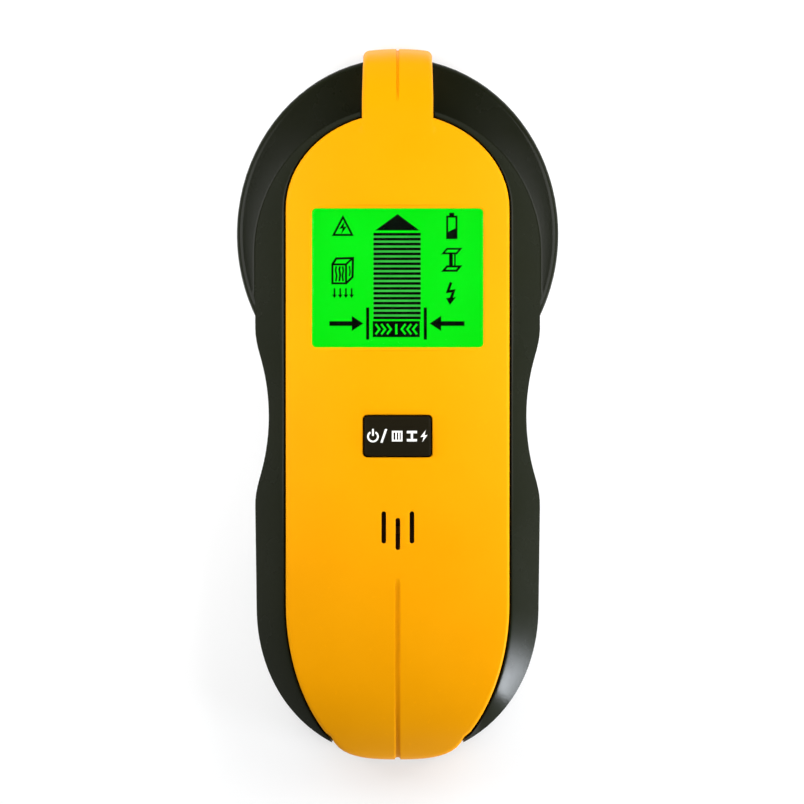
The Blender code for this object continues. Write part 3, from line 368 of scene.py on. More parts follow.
NODE_LOOKS = (
    (GLOW, "lcd_glass"),
    (WHITE, "lcd_bezel switch_plunger coil_bobbin ribbon_cable"),
    (WHITE, "backlight_led_left backlight_led_right"),
    (FROSTED, "light_guide"),
    (RESIN, "switch_body buzzer_case microcontroller signal_amplifier voltage_regulator"),
    (BRASS, "buzzer_disc"),
    (BOARD, "main_board sensor_board"),
    (CAN, "crystal capacitor_1 capacitor_2"),
    (COPPER, "sensor_plate_left sensor_plate_centre sensor_plate_right"),
    (COIL, "search_coil"),
    (JACKET, "battery"),
    (STEEL, "battery_terminal_plus battery_terminal_minus"),
    (RUBBER, "snap_connector zebra_strip_lower zebra_strip_upper"),
    (RED, "lead_red"),
    (DARK_SLEEVE, "lead_black"),
)


def finish_of(name):
    """The material of a CAD node that keeps its own shape."""
    if "screw" in name:
        return STEEL
    for material, nodes in NODE_LOOKS:
        if name in nodes.split():
            return material
    return BLACK


for name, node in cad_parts.items():
    node.data.materials.clear()
    node.data.materials.append(finish_of(name))


# ---- Mesh helpers ----

def add_object(name, data):
    made = bpy.data.objects.new(name, data)
    bpy.context.scene.collection.objects.link(made)
    return made


def shade(mesh):
    """Smooth shading that stays sharp at real edges."""
    mesh.shade_smooth()
    mesh.set_sharp_from_angle(angle=SHARP_ANGLE)


def solid(name, bm, material):
    """An object from a bmesh, which is used up."""
    bmesh.ops.recalc_face_normals(bm, faces=bm.faces)
    mesh = bpy.data.meshes.new(name)
    bm.to_mesh(mesh)
    bm.free()
    mesh.materials.append(material)
    shade(mesh)
    return add_object(name, mesh)


def boolean(target, tools, operation):
    """Apply exact Booleans with tool objects, which are then removed."""
    for tool in tools:
        made = target.modifiers.new("boolean", "BOOLEAN")
        made.operation = operation
        made.solver = "EXACT"
        made.object = tool
    bpy.context.view_layer.update()
    evaluated = target.evaluated_get(bpy.context.evaluated_depsgraph_get())
    mesh = bpy.data.meshes.new_from_object(evaluated)
    target.modifiers.clear()
    target.data = mesh
    for tool in tools:
        bpy.data.objects.remove(tool)
    shade(mesh)


def cut(target, *bms):
    boolean(target, [solid("cutter", bm, BLACK) for bm in bms], "DIFFERENCE")


def join(target, *bms):
    boolean(target, [solid("joiner", bm, BLACK) for bm in bms], "UNION")


def box(low, high):
    bm = bmesh.new()
    bmesh.ops.create_cube(bm, size=1.0)
    bmesh.ops.scale(bm, vec=[high[i] - low[i] for i in range(3)], verts=bm.verts)
    bmesh.ops.translate(bm, vec=[(high[i] + low[i]) / 2.0 for i in range(3)], verts=bm.verts)
    return bm


def slab(half_x, low_y, high_y, low_z, high_z):
    """A box centred on x = 0."""
    return box((-half_x, low_y, low_z), (half_x, high_y, high_z))


def rod(centre, radius, low_z, high_z):
    bm = bmesh.new()
    bmesh.ops.create_cone(bm, cap_ends=True, segments=ROUND_STEPS, radius1=radius, radius2=radius,
                          depth=high_z - low_z)
    middle = (centre[0], centre[1], (low_z + high_z) / 2.0)
    bmesh.ops.translate(bm, vec=middle, verts=bm.verts)
    return bm


def stack(rings, closed=False, cap=False):
    """Faces between equal rings; cap fills both ends, closed joins the last to the first."""
    bm = bmesh.new()
    rows = [[bm.verts.new(point) for point in points] for points in rings]
    if closed:
        rows.append(rows[0])
    count = len(rows[0])
    for lower, upper in zip(rows, rows[1:]):
        for i in range(count):
            j = (i + 1) % count
            bm.faces.new((lower[i], lower[j], upper[j], upper[i]))
    if cap:
        bm.faces.new(rows[0])
        bm.faces.new(rows[-1])
    bmesh.ops.remove_doubles(bm, verts=bm.verts, dist=WELD)
    bmesh.ops.dissolve_degenerate(bm, edges=bm.edges, dist=SLIVER)
    bmesh.ops.triangulate(bm, faces=bm.faces)
    return bm


def quarter_round(radius, steps):
    """Inset and drop along a quarter circle, from an upright side to a level one."""
    for i in range(steps + 1):
        angle = QUARTER * i / steps
        yield radius * (1.0 - cos(angle)), radius * (1.0 - sin(angle))


def rectangle_ring(centre, half, corner, grow, height):
    """A grown rounded rectangle lifted to a height or a function of x and y."""
    half_x, half_y = half[0] + grow, half[1] + grow
    corner = max(corner + grow, 0.05 * MM)
    made = []
    for index, (sx, sy) in enumerate(((1, 1), (-1, 1), (-1, -1), (1, -1))):
        for i in range(CORNER_STEPS + 1):
            angle = QUARTER * (index + i / CORNER_STEPS)
            x = centre[0] + (sx * (half_x - corner) + corner * cos(angle))
            y = centre[1] + (sy * (half_y - corner) + corner * sin(angle))
            made.append((x, y, height(x, y) if callable(height) else height))
    return made


# ---- Plan outlines ----

def superellipse(y, centre, half, extent, power=2.0):
    t = abs(y - centre) / extent
    if t >= 1.0:
        return -1.0
    return half * (1.0 - t ** power) ** (1.0 / power)


def soft_min(a, b, blend):
    near = max(blend - abs(a - b), 0.0) / blend
    return min(a, b) - near * near * blend / 4.0


def flange_plan(y):
    return superellipse(y, FLANGE_Y, FLANGE_A, FLANGE_B)


def body_plan(y):
    if y > BODY_TOP_Y:
        return superellipse(y, BODY_TOP_Y, BODY_HALF, BODY_TOP_B)
    if y < GRIP_Y:
        return superellipse(y, GRIP_Y, GRIP_HALF, GRIP_B, GRIP_POWER)
    slope = max(HIP_Y - y, 0.0) / (HIP_Y - GRIP_Y)
    side = BODY_HALF + (GRIP_HALF - BODY_HALF) * slope
    rise = WAIST_RADIUS ** 2 - (y - WAIST_CENTRE[1]) ** 2
    if rise <= 0.0:
        return side
    return soft_min(side, WAIST_CENTRE[0] - sqrt(rise), 1.2 * MM)


def base_plan(y):
    return max(flange_plan(y), body_plan(y))


def panel_plan(y):
    if y > PANEL_TOP_Y:
        return superellipse(y, PANEL_TOP_Y, PANEL_HALF, PANEL_TOP_B)
    if y > PANEL_LOW_Y:
        return PANEL_HALF
    side = superellipse(y, PANEL_LOW_Y, PANEL_HALF, PANEL_LOW_B)
    if y > CHIN_START_Y:
        return side
    chin = superellipse(y, CHIN_Y, CHIN_HALF, CHIN_B, CHIN_POWER)
    share = min((CHIN_START_Y - y) / CHIN_BLEND, 1.0)
    share = share * share * (3.0 - 2.0 * share)
    return side + (chin - side) * share


def chin_plan(y):
    return panel_plan(y) if y < CHIN_START_Y + WALL else -1.0


def spokes(spine):
    """Start and direction of each ray, counter-clockwise from +X at the spine's upper end."""
    low, high = spine
    made = []
    for i in range(END_STEPS):
        angle = pi * i / END_STEPS
        made.append((high, cos(angle), sin(angle)))
    for i in range(SIDE_STEPS):
        made.append((high + (low - high) * i / SIDE_STEPS, -1.0, 0.0))
    for angle in low_end_angles(spine):
        made.append((low, cos(angle), sin(angle)))
    for i in range(SIDE_STEPS):
        made.append((low + (high - low) * i / SIDE_STEPS, 1.0, 0.0))
    return made


def low_end_angles(spine):
    """Directions around the spine's lower end, with a close pair where the chin starts."""
    if spine is not BODY_SPINE:
        return [pi + pi * i / END_STEPS for i in range(END_STEPS)]
    down = 1.5 * pi
    start = atan2(panel_plan(CHIN_START_Y), spine[0] - CHIN_START_Y)
    inside = start - radians(0.9)
    left = [pi + (down - start - pi) * i / LOW_SIDE_STEPS
            for i in range(LOW_SIDE_STEPS + 1)]
    middle = [down - inside + 2.0 * inside * i / CHIN_STEPS for i in range(CHIN_STEPS + 1)]
    right = [2.0 * down - angle for angle in reversed(left[1:])]
    return left + middle + right


def radii(plan, spine=None):
    """How far each ray runs before it leaves an outline."""
    found = []
    for start, dx, dy in spokes(spine or BODY_SPINE):
        low, high = 0.0, 0.1
        for _ in range(34):
            middle = (low + high) / 2.0
            if abs(dx) * middle <= plan(start + dy * middle):
                low = middle
            else:
                high = middle
        found.append(low)
    return found


def moved(lengths, distance):
    return [max(length + distance, 0.0) for length in lengths]


def scaled(lengths, share):
    return [length * share for length in lengths]


def widest(first, second):
    return [max(a, b) for a, b in zip(first, second)]


def ring(lengths, height, spine=None):
    """Points at the ends of the rays, at a height or a function of x and y."""
    made = []
    for length, (start, dx, dy) in zip(lengths, spokes(spine or BODY_SPINE)):
        x, y = dx * length, start + dy * length
        made.append((x, y, height(x, y) if callable(height) else height))
    return made


def chin_column(low_z, high_z):
    """An upright cutter that leaves room around the chin."""
    outer = moved(radii(chin_plan, CHIN_SPINE), 0.5 * MM)
    flat = scaled(outer, 0.0)
    sides = ((flat, low_z), (outer, low_z), (outer, high_z), (flat, high_z))
    return stack([ring(lengths, z, CHIN_SPINE) for lengths, z in sides])


# ---- Heights ----

def crest(y):
    """Height of the cover along its centre line."""
    if y > CREST_Y:
        z = TOP_Z - CREST_DROP_UP * ((y - CREST_Y) / (PANEL_TOP_Y + PANEL_TOP_B - CREST_Y)) ** 2
    else:
        z = TOP_Z - CREST_DROP_DOWN * ((CREST_Y - y) / CREST_RUN_DOWN) ** 2
    t = min(max((CHIN_ROLL_Y - y) / CHIN_ROLL_LENGTH, 0.0), 1.0)
    return z - CHIN_ROLL_DROP * (1.0 - sqrt(1.0 - t * t))


def cover_top(x, y):
    return crest(y) - CROWN_DROP * (x / PANEL_HALF) ** 2


def cover_underside(x, y):
    if y < 0.0:
        return cover_top(x, y - WALL) - WALL
    return cover_top(x, y) - WALL


def rim_height(x, y):
    return cover_top(x, y) - PROUD


def seat_height(x, y):
    return min(rim_height(x, y) - SEAT_DEPTH, cover_underside(x, y) - 2.0 * GAP)


def ledge_underside(x, y):
    return seat_height(x, y) - LEDGE_THICKNESS


def nose_top(y):
    """The nose leaves the cover level and falls towards its brow."""
    past = max(y - NOSE_FALL_Y, 0.0) / NOSE_FALL_RUN
    hidden = max(1.0 - (y - NOSE_ROOT_Y) / (6.0 * MM), 0.0)
    return crest(y) + 0.012 * MM - 0.15 * MM * hidden ** 2 - NOSE_FALL * past * past


# ---- Shells ----

def shoulder(foot, rim, rim_height_at):
    """Rings of a wall that slopes in from its foot and curls over to its rim."""
    rails = []
    for low, high in zip(ring(foot, 0.0), ring(rim, rim_height_at)):
        run = hypot(high[0] - low[0], high[1] - low[1])
        foot_z = high[2] - min(SHOULDER_RISE, SHOULDER_PITCH * run)
        rails.append(((low[0], low[1], max(foot_z, FLANGE_TOP_Z + MM)), high))
    rings = []
    for step in range(SHOULDER_STEPS + 1):
        angle = QUARTER * step / SHOULDER_STEPS
        rise = sin(angle)
        inward = SHOULDER_DRAFT * rise + (1.0 - SHOULDER_DRAFT) * (1.0 - cos(angle))
        rings.append([(fx + (rx - fx) * inward, fy + (ry - fy) * inward, fz + (rz - fz) * rise)
                      for (fx, fy, fz), (rx, ry, rz) in rails])
    return rings


def build_housing():
    """Black upper shell with its flange, waisted shoulders and the ledge under the cover."""
    low_z = HOUSING_LOW.z
    body, flange = radii(body_plan), radii(flange_plan)
    panel = [min(inner, outer - RIM_WIDTH) for inner, outer in zip(radii(panel_plan), body)]
    outline = widest(body, flange)

    rings = [ring(moved(outline, -SOFT_EDGE), low_z),
             ring(moved(outline, -SOFT_EDGE * 0.3), low_z + SOFT_EDGE * 0.3),
             ring(outline, low_z + SOFT_EDGE)]
    for inset, drop in quarter_round(FLANGE_EDGE, FLANGE_STEPS):
        rings.append(ring(widest(body, moved(flange, -inset)), FLANGE_TOP_Z - drop))
    for rise, spread in list(quarter_round(FILLET, FILLET_STEPS))[:-1]:
        foot = [min(a, max(b, c)) for a, b, c in
                zip(moved(body, spread), moved(flange, -FLANGE_EDGE), body)]
        rings.append(ring(foot, FLANGE_TOP_Z + rise))
    rings += shoulder(body, moved(panel, SHELL_GAP + 0.2 * MM), rim_height)
    mouth = moved(panel, SHELL_GAP)
    rings += [ring(moved(panel, SHELL_GAP + 0.06 * MM), lambda x, y: rim_height(x, y) - 0.06 * MM),
              ring(mouth, lambda x, y: rim_height(x, y) - 0.2 * MM),
              ring(mouth, seat_height),
              ring(moved(panel, -LEDGE), seat_height)]
    inner_body = moved(body, -WALL)
    rings += reversed(shoulder(inner_body, moved(panel, -LEDGE), ledge_underside))
    under_flange = widest(inner_body, moved(flange, -WALL))
    rings += [ring(inner_body, FLANGE_TOP_Z - WALL),
              ring(under_flange, FLANGE_TOP_Z - WALL),
              ring(under_flange, low_z)]
    housing = solid("housing_skin", stack(rings, closed=True), BLACK)
    notch_z = seat_height(0.0, 64.0 * MM) - 0.2 * MM
    cut(housing,
        chin_column(0.0, ABOVE_Z),
        slab(13.0 * MM, BEYOND_Y, -78.4 * MM, 0.0, ABOVE_Z),
        slab(NOSE_HALF + SHELL_GAP, NOSE_NOTCH_Y, NOSE_BACK_Y, notch_z, ABOVE_Z))
    return housing


def cover_bottom(outer, lengths):
    """The cover's lower edge: just above the ledge, and near the floor at the chin."""
    made = []
    for (_, edge_y, _), (x, y, _) in zip(ring(outer, 0.0), ring(lengths, 0.0)):
        in_chin = edge_y < CHIN_START_Y - 0.1 * MM
        made.append((x, y, CHIN_BOTTOM_Z if in_chin else seat_height(x, y) + GAP))
    return made


def nose_stations():
    """Side view of the nose: outer (y, z) points up to the tip, each with one behind it."""
    over_rim = seat_height(0.0, 64.0 * MM) + GAP
    over_flange = FLANGE_TOP_Z + GAP
    made = []
    for i in range(28):
        y = (57.0 + i * 20.0 / 27.0) * MM
        past = max(y - NOSE_BACK_Y, 0.0) / (NOSE_BROW_Y - NOSE_BACK_Y)
        behind_z = over_rim + (over_flange - over_rim) * past
        made.append(((y, nose_top(y)), (min(y, NOSE_BACK_Y), behind_z)))
    brow, end = Vector(made[-1][0]), Vector((80.3 * MM, 14.0 * MM))
    corner = Vector((79.7 * MM, nose_top(79.2 * MM)))
    for i in range(1, 13):
        t = i / 12.0
        point = brow * (1 - t) ** 2 + corner * 2 * t * (1 - t) + end * t * t
        behind_y = NOSE_BACK_Y + (NOSE_FACE_Y - NOSE_BACK_Y) * t
        made.append(((point.x, point.y), (behind_y, over_flange)))
    face = [(80.7, 9.5), (81.0, 5.5), (81.0, 1.3), (80.88, 0.8), (80.5, 0.5)]
    for i, (y, z) in enumerate(face):
        behind_z = over_flange + (0.5 * MM - over_flange) * (i + 1) / len(face)
        made.append(((y * MM, z * MM), (NOSE_FACE_Y, behind_z)))
    return made


def nose_block():
    """The nose: crowned across, with rounded edges, and its tip bowed in plan."""
    stations = nose_stations()
    path = [Vector(outer) for outer, _ in stations]
    rings = []
    for i, (outer, behind) in enumerate(stations):
        along = (path[min(i + 1, len(path) - 1)] - path[max(i - 1, 0)]).normalized()
        inward = Vector((along.y, -along.x))
        grown = min(max((outer[0] - 63.0 * MM) / (4.0 * MM), 0.0), 1.0)
        tip = min(max((outer[0] - 70.0 * MM) / (10.0 * MM), 0.0), 1.0)
        half = NOSE_HALF - 0.25 * MM * tip
        corner = (0.08 + 0.95 * grown + 0.3 * tip) * MM
        bow = CROWN_DROP * (NOSE_HALF / PANEL_HALF) ** 2 * (1.0 - tip) + 0.55 * MM * tip ** 3
        rings.append(nose_section(outer, inward, behind, half, corner, bow))
    return stack(rings, cap=True)


def nose_section(outer, inward, behind, half, corner, bow):
    """One cross-section: its outer line from left to right with round corners, then the back."""
    across = [(-half + inset, drop) for inset, drop in quarter_round(corner, 6)]
    for i in range(1, 12):
        across.append(((half - corner) * (i / 6.0 - 1.0), 0.0))
    across += [(-x, drop) for x, drop in reversed(across[:7])]
    points = []
    for x, drop in across:
        sunk = drop + bow * (x / half) ** 2
        points.append((x, outer[0] + inward.x * sunk, outer[1] + inward.y * sunk))
    return points + [(half, *behind), (-half, *behind)]


def groove(path, width, depth, fade):
    """A cutter that follows a (y, z) path: a round-bottomed groove with soft lips, fading in."""
    half = width / 2.0
    lip = half + GROOVE_LIP
    section = []
    for i in range(GROOVE_STEPS + 1):
        angle = pi * i / GROOVE_STEPS
        section.append((-half * cos(angle), -sin(angle)))
    outward = -1.0 if path[-1][0] < path[0][0] else 1.0
    rings = []
    run = 0.0
    for i, (y, z) in enumerate(path):
        here = Vector((y, z))
        before, after = Vector(path[max(i - 1, 0)]), Vector(path[min(i + 1, len(path) - 1)])
        along = (after - before).normalized()
        normal = Vector((-along.y, along.x)) * outward
        if i:
            run += (here - Vector(path[i - 1])).length
        grown = min(run / fade, 1.0)
        grown = grown * grown * (3.0 - 2.0 * grown)
        points = []
        for x, share in section:
            sunk = share * depth * (0.02 + 0.98 * grown)
            at = here + normal * (sunk - 0.10 * MM * grown + 0.05 * MM)
            points.append((x * (0.8 + 0.2 * grown), at.x, at.y))
        for x, high in ((lip, 0.3), (lip, 2.0), (-lip, 2.0), (-lip, 0.3)):
            at = here + normal * (high * MM)
            points.append((x, at.x, at.y))
        rings.append(points)
    return stack(rings, cap=True)


def opening(centre, half, corner, lip, surface=cover_top):
    """A cutter for a rounded opening whose upper edge curves over with radius lip."""
    first = radians(22.0)
    rings = [rectangle_ring(centre, half, corner, 0.0, INSIDE_Z)]
    steps = 5
    for i in range(steps + 1):
        angle = QUARTER + (first - QUARTER) * i / steps
        grow = lip * (1.0 - sin(angle))
        drop = lip * (1.0 - cos(angle))
        rings.append(rectangle_ring(centre, half, corner, grow, lambda x, y: surface(x, y) - drop))
    flare = 0.25 * MM / tan(first)
    grow = lip * (1.0 - sin(first)) + flare
    rings.append(rectangle_ring(centre, half, corner, grow, lambda x, y: surface(x, y) + 0.2 * MM))
    rings.append(rectangle_ring(centre, half, corner, grow, TOP_Z + 4.0 * MM))
    return stack(rings, cap=True)


def chin_path():
    """Centre line of the chin's groove, over the roll and down the front."""
    ridge = [(-38.6 - 0.6 * i) * MM for i in range(69)]
    front = -81.08 * MM
    return [(y, crest(y)) for y in ridge] + [
        (-80.3 * MM, crest(-80.3 * MM)),
        (-80.75 * MM, crest(-80.6 * MM) - 0.3 * MM),
        (-81.0 * MM, crest(-80.8 * MM) - 1.0 * MM),
        (front, 12.5 * MM), (front, 8.0 * MM), (front, 1.0 * MM)]


def build_cover():
    """Yellow shell: crowned panel, nose and chin, with soft-edged openings and grooves."""
    outer = radii(panel_plan)
    thin = moved(outer, -1.8 * MM)
    rings = [ring(scaled(thin, share), cover_underside) for share in reversed(DOME_SHARES)]
    rings.append(ring(thin, cover_underside))
    rings += [cover_bottom(outer, thin), cover_bottom(outer, outer)]
    edge = 0.7 * MM
    rings += [ring(moved(outer, -inset), lambda x, y: cover_top(x, y) - drop)
              for inset, drop in quarter_round(edge, 6)]
    crowned = moved(outer, -edge)
    rings += [ring(scaled(crowned, share), cover_top) for share in DOME_SHARES]
    cover = solid("cover_skin", stack(rings), YELLOW)
    join(cover, nose_block())

    half_window = (WINDOW[0] / 2.0, WINDOW[1] / 2.0)
    half_key = (KEY[0] / 2.0 + GAP, KEY[1] / 2.0 + GAP)
    half_slot = (SOUND_SLOT[0] / 2.0, SOUND_SLOT[1] / 2.0)
    flange_y = 18.2 * MM
    nose_path = [outer_point for outer_point, _ in nose_stations()[15:]]
    tools = [slab(6.1 * MM, *NOSE_HOLLOW_Y, 8.0 * MM, 20.0 * MM),
             slab(21.9 * MM, WINDOW_Y - flange_y, WINDOW_Y + flange_y, INSIDE_Z, 26.3 * MM),
             opening((0.0, WINDOW_Y), half_window, 1.0 * MM, 0.35 * MM),
             opening((0.0, KEY_Y), half_key, 0.9 * MM, 0.30 * MM),
             groove(chin_path(), CHIN_GROOVE, CHIN_GROOVE_DEPTH, 4.0 * MM),
             groove(nose_path, NOSE_GROOVE, NOSE_GROOVE_DEPTH, 3.0 * MM)]
    for centre in SOUND_SLOTS:
        tools.append(opening(centre, half_slot, half_slot[0] - 0.01 * MM, 0.14 * MM))
    cut(cover, *tools)
    return cover


def build_rear():
    """Black rear shell: flat sensing face, soft outer edge, door channel and screw wells."""
    outer = radii(base_plan)
    lip_z = SPLIT_Z + 1.5 * MM
    rings = [ring(scaled(outer, 0.0), 0.0)]
    for height, inset in quarter_round(1.3 * MM, 6):
        rings.append(ring(moved(outer, -inset), height))
    seam, lip = moved(outer, -2.3 * MM), moved(outer, -3.1 * MM)
    bowl = [(outer, SPLIT_Z - SOFT_EDGE),
            (moved(outer, -SOFT_EDGE * 0.3), SPLIT_Z - SOFT_EDGE * 0.3),
            (moved(outer, -SOFT_EDGE), SPLIT_Z),
            (seam, SPLIT_Z), (seam, lip_z), (lip, lip_z), (lip, FLOOR), (scaled(outer, 0.0), FLOOR)]
    rings += [ring(lengths, z) for lengths, z in bowl]
    rear = solid("rear_skin", stack(rings), BLACK)
    bay_low, bay_high = BAY_Y
    join(rear,
         slab(15.0 * MM, bay_low - 1.3 * MM, bay_high + 1.3 * MM, 1.0 * MM, 16.0 * MM),
         slab(17.3 * MM, -73.5 * MM, DOOR_TOP_Y + 1.6 * MM, 1.1 * MM, 4.0 * MM))
    wells = [screw_centre(i) for i in range(1, 5)]
    join(rear, *[rod(centre, 3.4 * MM, 0.6 * MM, 12.0 * MM) for centre in wells])
    door_end = DOOR_TOP_Y + GAP
    cut(rear,
        slab(BAY_HALF, bay_low, bay_high, -MM, 20.0 * MM),
        slab(11.0 * MM, bay_high - MM, bay_high + 3.0 * MM, 11.0 * MM, 20.0 * MM),
        slab(DOOR_HALF + GAP, BEYOND_Y, door_end, -MM, FLOOR),
        slab(TONGUE_HALF + GAP, BEYOND_Y, door_end, 0.9 * MM, FLOOR),
        chin_column(FLOOR - 0.05 * MM, ABOVE_Z))
    well_radius, well_top = 2.95 * MM, 3.3 * MM
    profile = [(0.0, -MM), (4.4 * MM, -MM), (well_radius, 0.45 * MM), (well_radius, well_top),
               (0.0, well_top)]
    tools = []
    for centre in wells:
        tools.append(turned(profile, centre, ROUND_STEPS))
        tools.append(rod(centre, 1.65 * MM, 2.0 * MM, 13.0 * MM))
    cut(rear, *tools)
    return rear


def screw_centre(index):
    low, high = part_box("housing_screw_%d" % index)
    return ((low.x + high.x) / 2.0, (low.y + high.y) / 2.0)


def turned(profile, centre, steps):
    """A solid of revolution about an upright axis, from points that start and end on it."""
    angles = [2.0 * pi * i / steps for i in range(steps)]
    return stack([[(centre[0] + radius * cos(angle), centre[1] + radius * sin(angle), z)
                   for angle in angles] for radius, z in profile])


def build_door():
    """Sliding door: plate with tongues, soft edges, thumb ribs and an arrow."""
    low_z, high_z = DOOR_LOW.z, DOOR_HIGH.z
    plate = slab(DOOR_HALF, BEYOND_Y, DOOR_TOP_Y, low_z, high_z)
    lower = [e for e in plate.edges if all(abs(v.co.z - low_z) < SLIVER for v in e.verts)]
    bmesh.ops.bevel(plate, geom=lower, offset=0.3 * MM, segments=3, affect="EDGES", profile=0.5)
    door = solid("door_skin", plate, BLACK)
    join(door, slab(TONGUE_HALF, TONGUE_LOW_Y, DOOR_TOP_Y, 1.2 * MM, high_z))
    outline = moved(radii(base_plan), -0.1 * MM)
    flat = scaled(outline, 0.0)
    sides = ((-0.6 * MM, -MM), (-0.6 * MM, low_z), (-0.1 * MM, low_z + 0.5 * MM),
             (0.0, low_z + 0.7 * MM), (0.0, 5.0 * MM))
    plan = [ring(moved(outline, grow), z) for grow, z in sides]
    plan = [ring(flat, -MM)] + plan + [ring(flat, 5.0 * MM)]
    boolean(door, [solid("plan", stack(plan), BLACK)], "INTERSECT")
    tools = []
    for i in range(5):
        y = (-72.0 + 1.8 * i) * MM
        half = (6.0 - 0.35 * abs(i - 2)) * MM
        tools.append(slab(half, y, y + 0.9 * MM, -MM, 0.8 * MM))
    arrow = ((-3.2, -60.2), (3.2, -60.2), (0.0, -63.0))
    prism = [[(x * MM, y * MM, z) for x, y in arrow] for z in (-MM, 0.6 * MM)]
    tools.append(stack(prism, cap=True))
    cut(door, *tools)
    return door


# ---- Lens and key ----

def rolled_rim(centre, half, corner, edge, top_z, steps):
    """Rings of a quarter-round edge from an upright side onto a flat top."""
    return [rectangle_ring(centre, half, corner, -inset, top_z - drop)
            for inset, drop in quarter_round(edge, steps)]


def build_lens():
    """Clear window: a thin flange under the cover and a plateau that fills the opening."""
    centre = (0.0, WINDOW_Y)
    flange = ((LENS_HIGH.x - LENS_LOW.x) / 2.0, (LENS_HIGH.y - LENS_LOW.y) / 2.0)
    plateau = (WINDOW[0] / 2.0 - 0.12 * MM, WINDOW[1] / 2.0 - 0.12 * MM)
    shelf_z = 26.0 * MM
    rings = [rectangle_ring(centre, flange, 0.5 * MM, 0.0, LENS_LOW.z),
             rectangle_ring(centre, flange, 0.5 * MM, 0.0, shelf_z),
             rectangle_ring(centre, plateau, 0.9 * MM, 0.0, shelf_z)]
    rings += rolled_rim(centre, plateau, 0.9 * MM, 0.25 * MM, LENS_HIGH.z, 4)
    return solid("lens_skin", stack(rings, cap=True), LENS)


def build_key():
    """Key cap: flange, upright sides, a softly rolled edge and a faintly dished top."""
    centre = (0.0, KEY_Y)
    half = (KEY[0] / 2.0, KEY[1] / 2.0)
    corner = 0.7 * MM
    flange_z = KEY_LOW.z + 1.3 * MM
    top_z = KEY_HIGH.z
    sides = ((-1.4 * MM, flange_z - MM), (1.2 * MM, flange_z - MM), (1.2 * MM, flange_z),
             (0.0, flange_z))
    rings = [rectangle_ring(centre, half, corner, grow, z) for grow, z in sides]
    rings += rolled_rim(centre, half, corner, 0.35 * MM, top_z, 6)
    for inset in (1.2, 2.4, 3.6, 4.6):
        dish = 0.05 * MM * inset / 4.6
        rings.append(rectangle_ring(centre, half, corner, -inset * MM, top_z - dish))
    key = solid("key_skin", stack(rings, cap=True), KEY_BLACK)
    hollow_y = 3.3 * MM
    cut(key, slab(6.4 * MM, KEY_Y - hollow_y, KEY_Y + hollow_y, INSIDE_Z, top_z - 1.6 * MM))
    join(key, rod(centre, 1.8 * MM, KEY_LOW.z, top_z - MM))
    return key


# ---- Flat artwork ----

def flat_shape(name, loops, centre, low_z, thickness, material):
    """Flat mesh from closed (x, y) loops in millimetres; an inner loop makes a hole."""
    curve = bpy.data.curves.new(name, "CURVE")
    curve.dimensions = "2D"
    curve.fill_mode = "BOTH"
    curve.extrude = thickness / 2.0
    for loop in loops:
        spline = curve.splines.new("POLY")
        spline.points.add(len(loop) - 1)
        for point, (x, y) in zip(spline.points, loop):
            point.co = (x * MM, y * MM, 0.0, 1.0)
        spline.use_cyclic_u = True
    guide = add_object(name, curve)
    bpy.context.view_layer.update()
    evaluated = guide.evaluated_get(bpy.context.evaluated_depsgraph_get())
    mesh = bpy.data.meshes.new_from_object(evaluated)
    bpy.data.objects.remove(guide)
    bm = bmesh.new()
    bm.from_mesh(mesh)
    bmesh.ops.remove_doubles(bm, verts=bm.verts, dist=SLIVER / 2.0)
    bmesh.ops.translate(bm, vec=(centre[0], centre[1], low_z + thickness / 2.0), verts=bm.verts)
    made = solid(name, bm, material)
    made.data.shade_flat()
    return made


def rectangle(low_x, low_y, high_x, high_y):
    return [(low_x, low_y), (high_x, low_y), (high_x, high_y), (low_x, high_y)]


def stroke(points, width):
    """Outline of a bent line of even width, with mitred corners and flat ends."""
    left, right = [], []
    for i, point in enumerate(points):
        here = Vector(point)
        into = (here - Vector(points[i - 1])).normalized() if i else None
        out = (Vector(points[i + 1]) - here).normalized() if i + 1 < len(points) else None
        along = ((into or out) + (out or into)).normalized()
        side = Vector((-along.y, along.x))
        stretch = 1.0
        if into and out:
            stretch = 1.0 / max(side.dot(Vector((-into.y, into.x))), 0.35)
        offset = side * width * stretch / 2.0
        left.append(tuple(here + offset))
        right.append(tuple(here - offset))
    return left + right[::-1]


def frame_loops(loop, width):
    """An outline and a parallel one inside it, for a hollow shape."""
    inner = []
    count = len(loop)
    for i in range(count):
        here = Vector(loop[i])
        into = (here - Vector(loop[i - 1])).normalized()
        out = (Vector(loop[(i + 1) % count]) - here).normalized()
        normal_in, normal_out = Vector((-into.y, into.x)), Vector((-out.y, out.x))
        middle = (normal_in + normal_out).normalized()
        inner.append(tuple(here + middle * width / middle.dot(normal_in)))
    return [loop, inner]


def bolt_loop(x, y, size):
    """A lightning bolt of a given height, as one outline."""
    points = ((0.14, 0.50), (-0.30, -0.08), (-0.02, -0.04),
              (-0.14, -0.50), (0.30, 0.10), (0.04, 0.07))
    return [(x + px * size, y + py * size) for px, py in points]


def down_arrow(x, high_y, low_y):
    """A small arrow that points down."""
    neck = low_y + 0.8
    return [(x - 0.17, high_y), (x + 0.17, high_y), (x + 0.17, neck), (x + 0.52, neck),
            (x, low_y), (x - 0.52, neck), (x - 0.17, neck)]


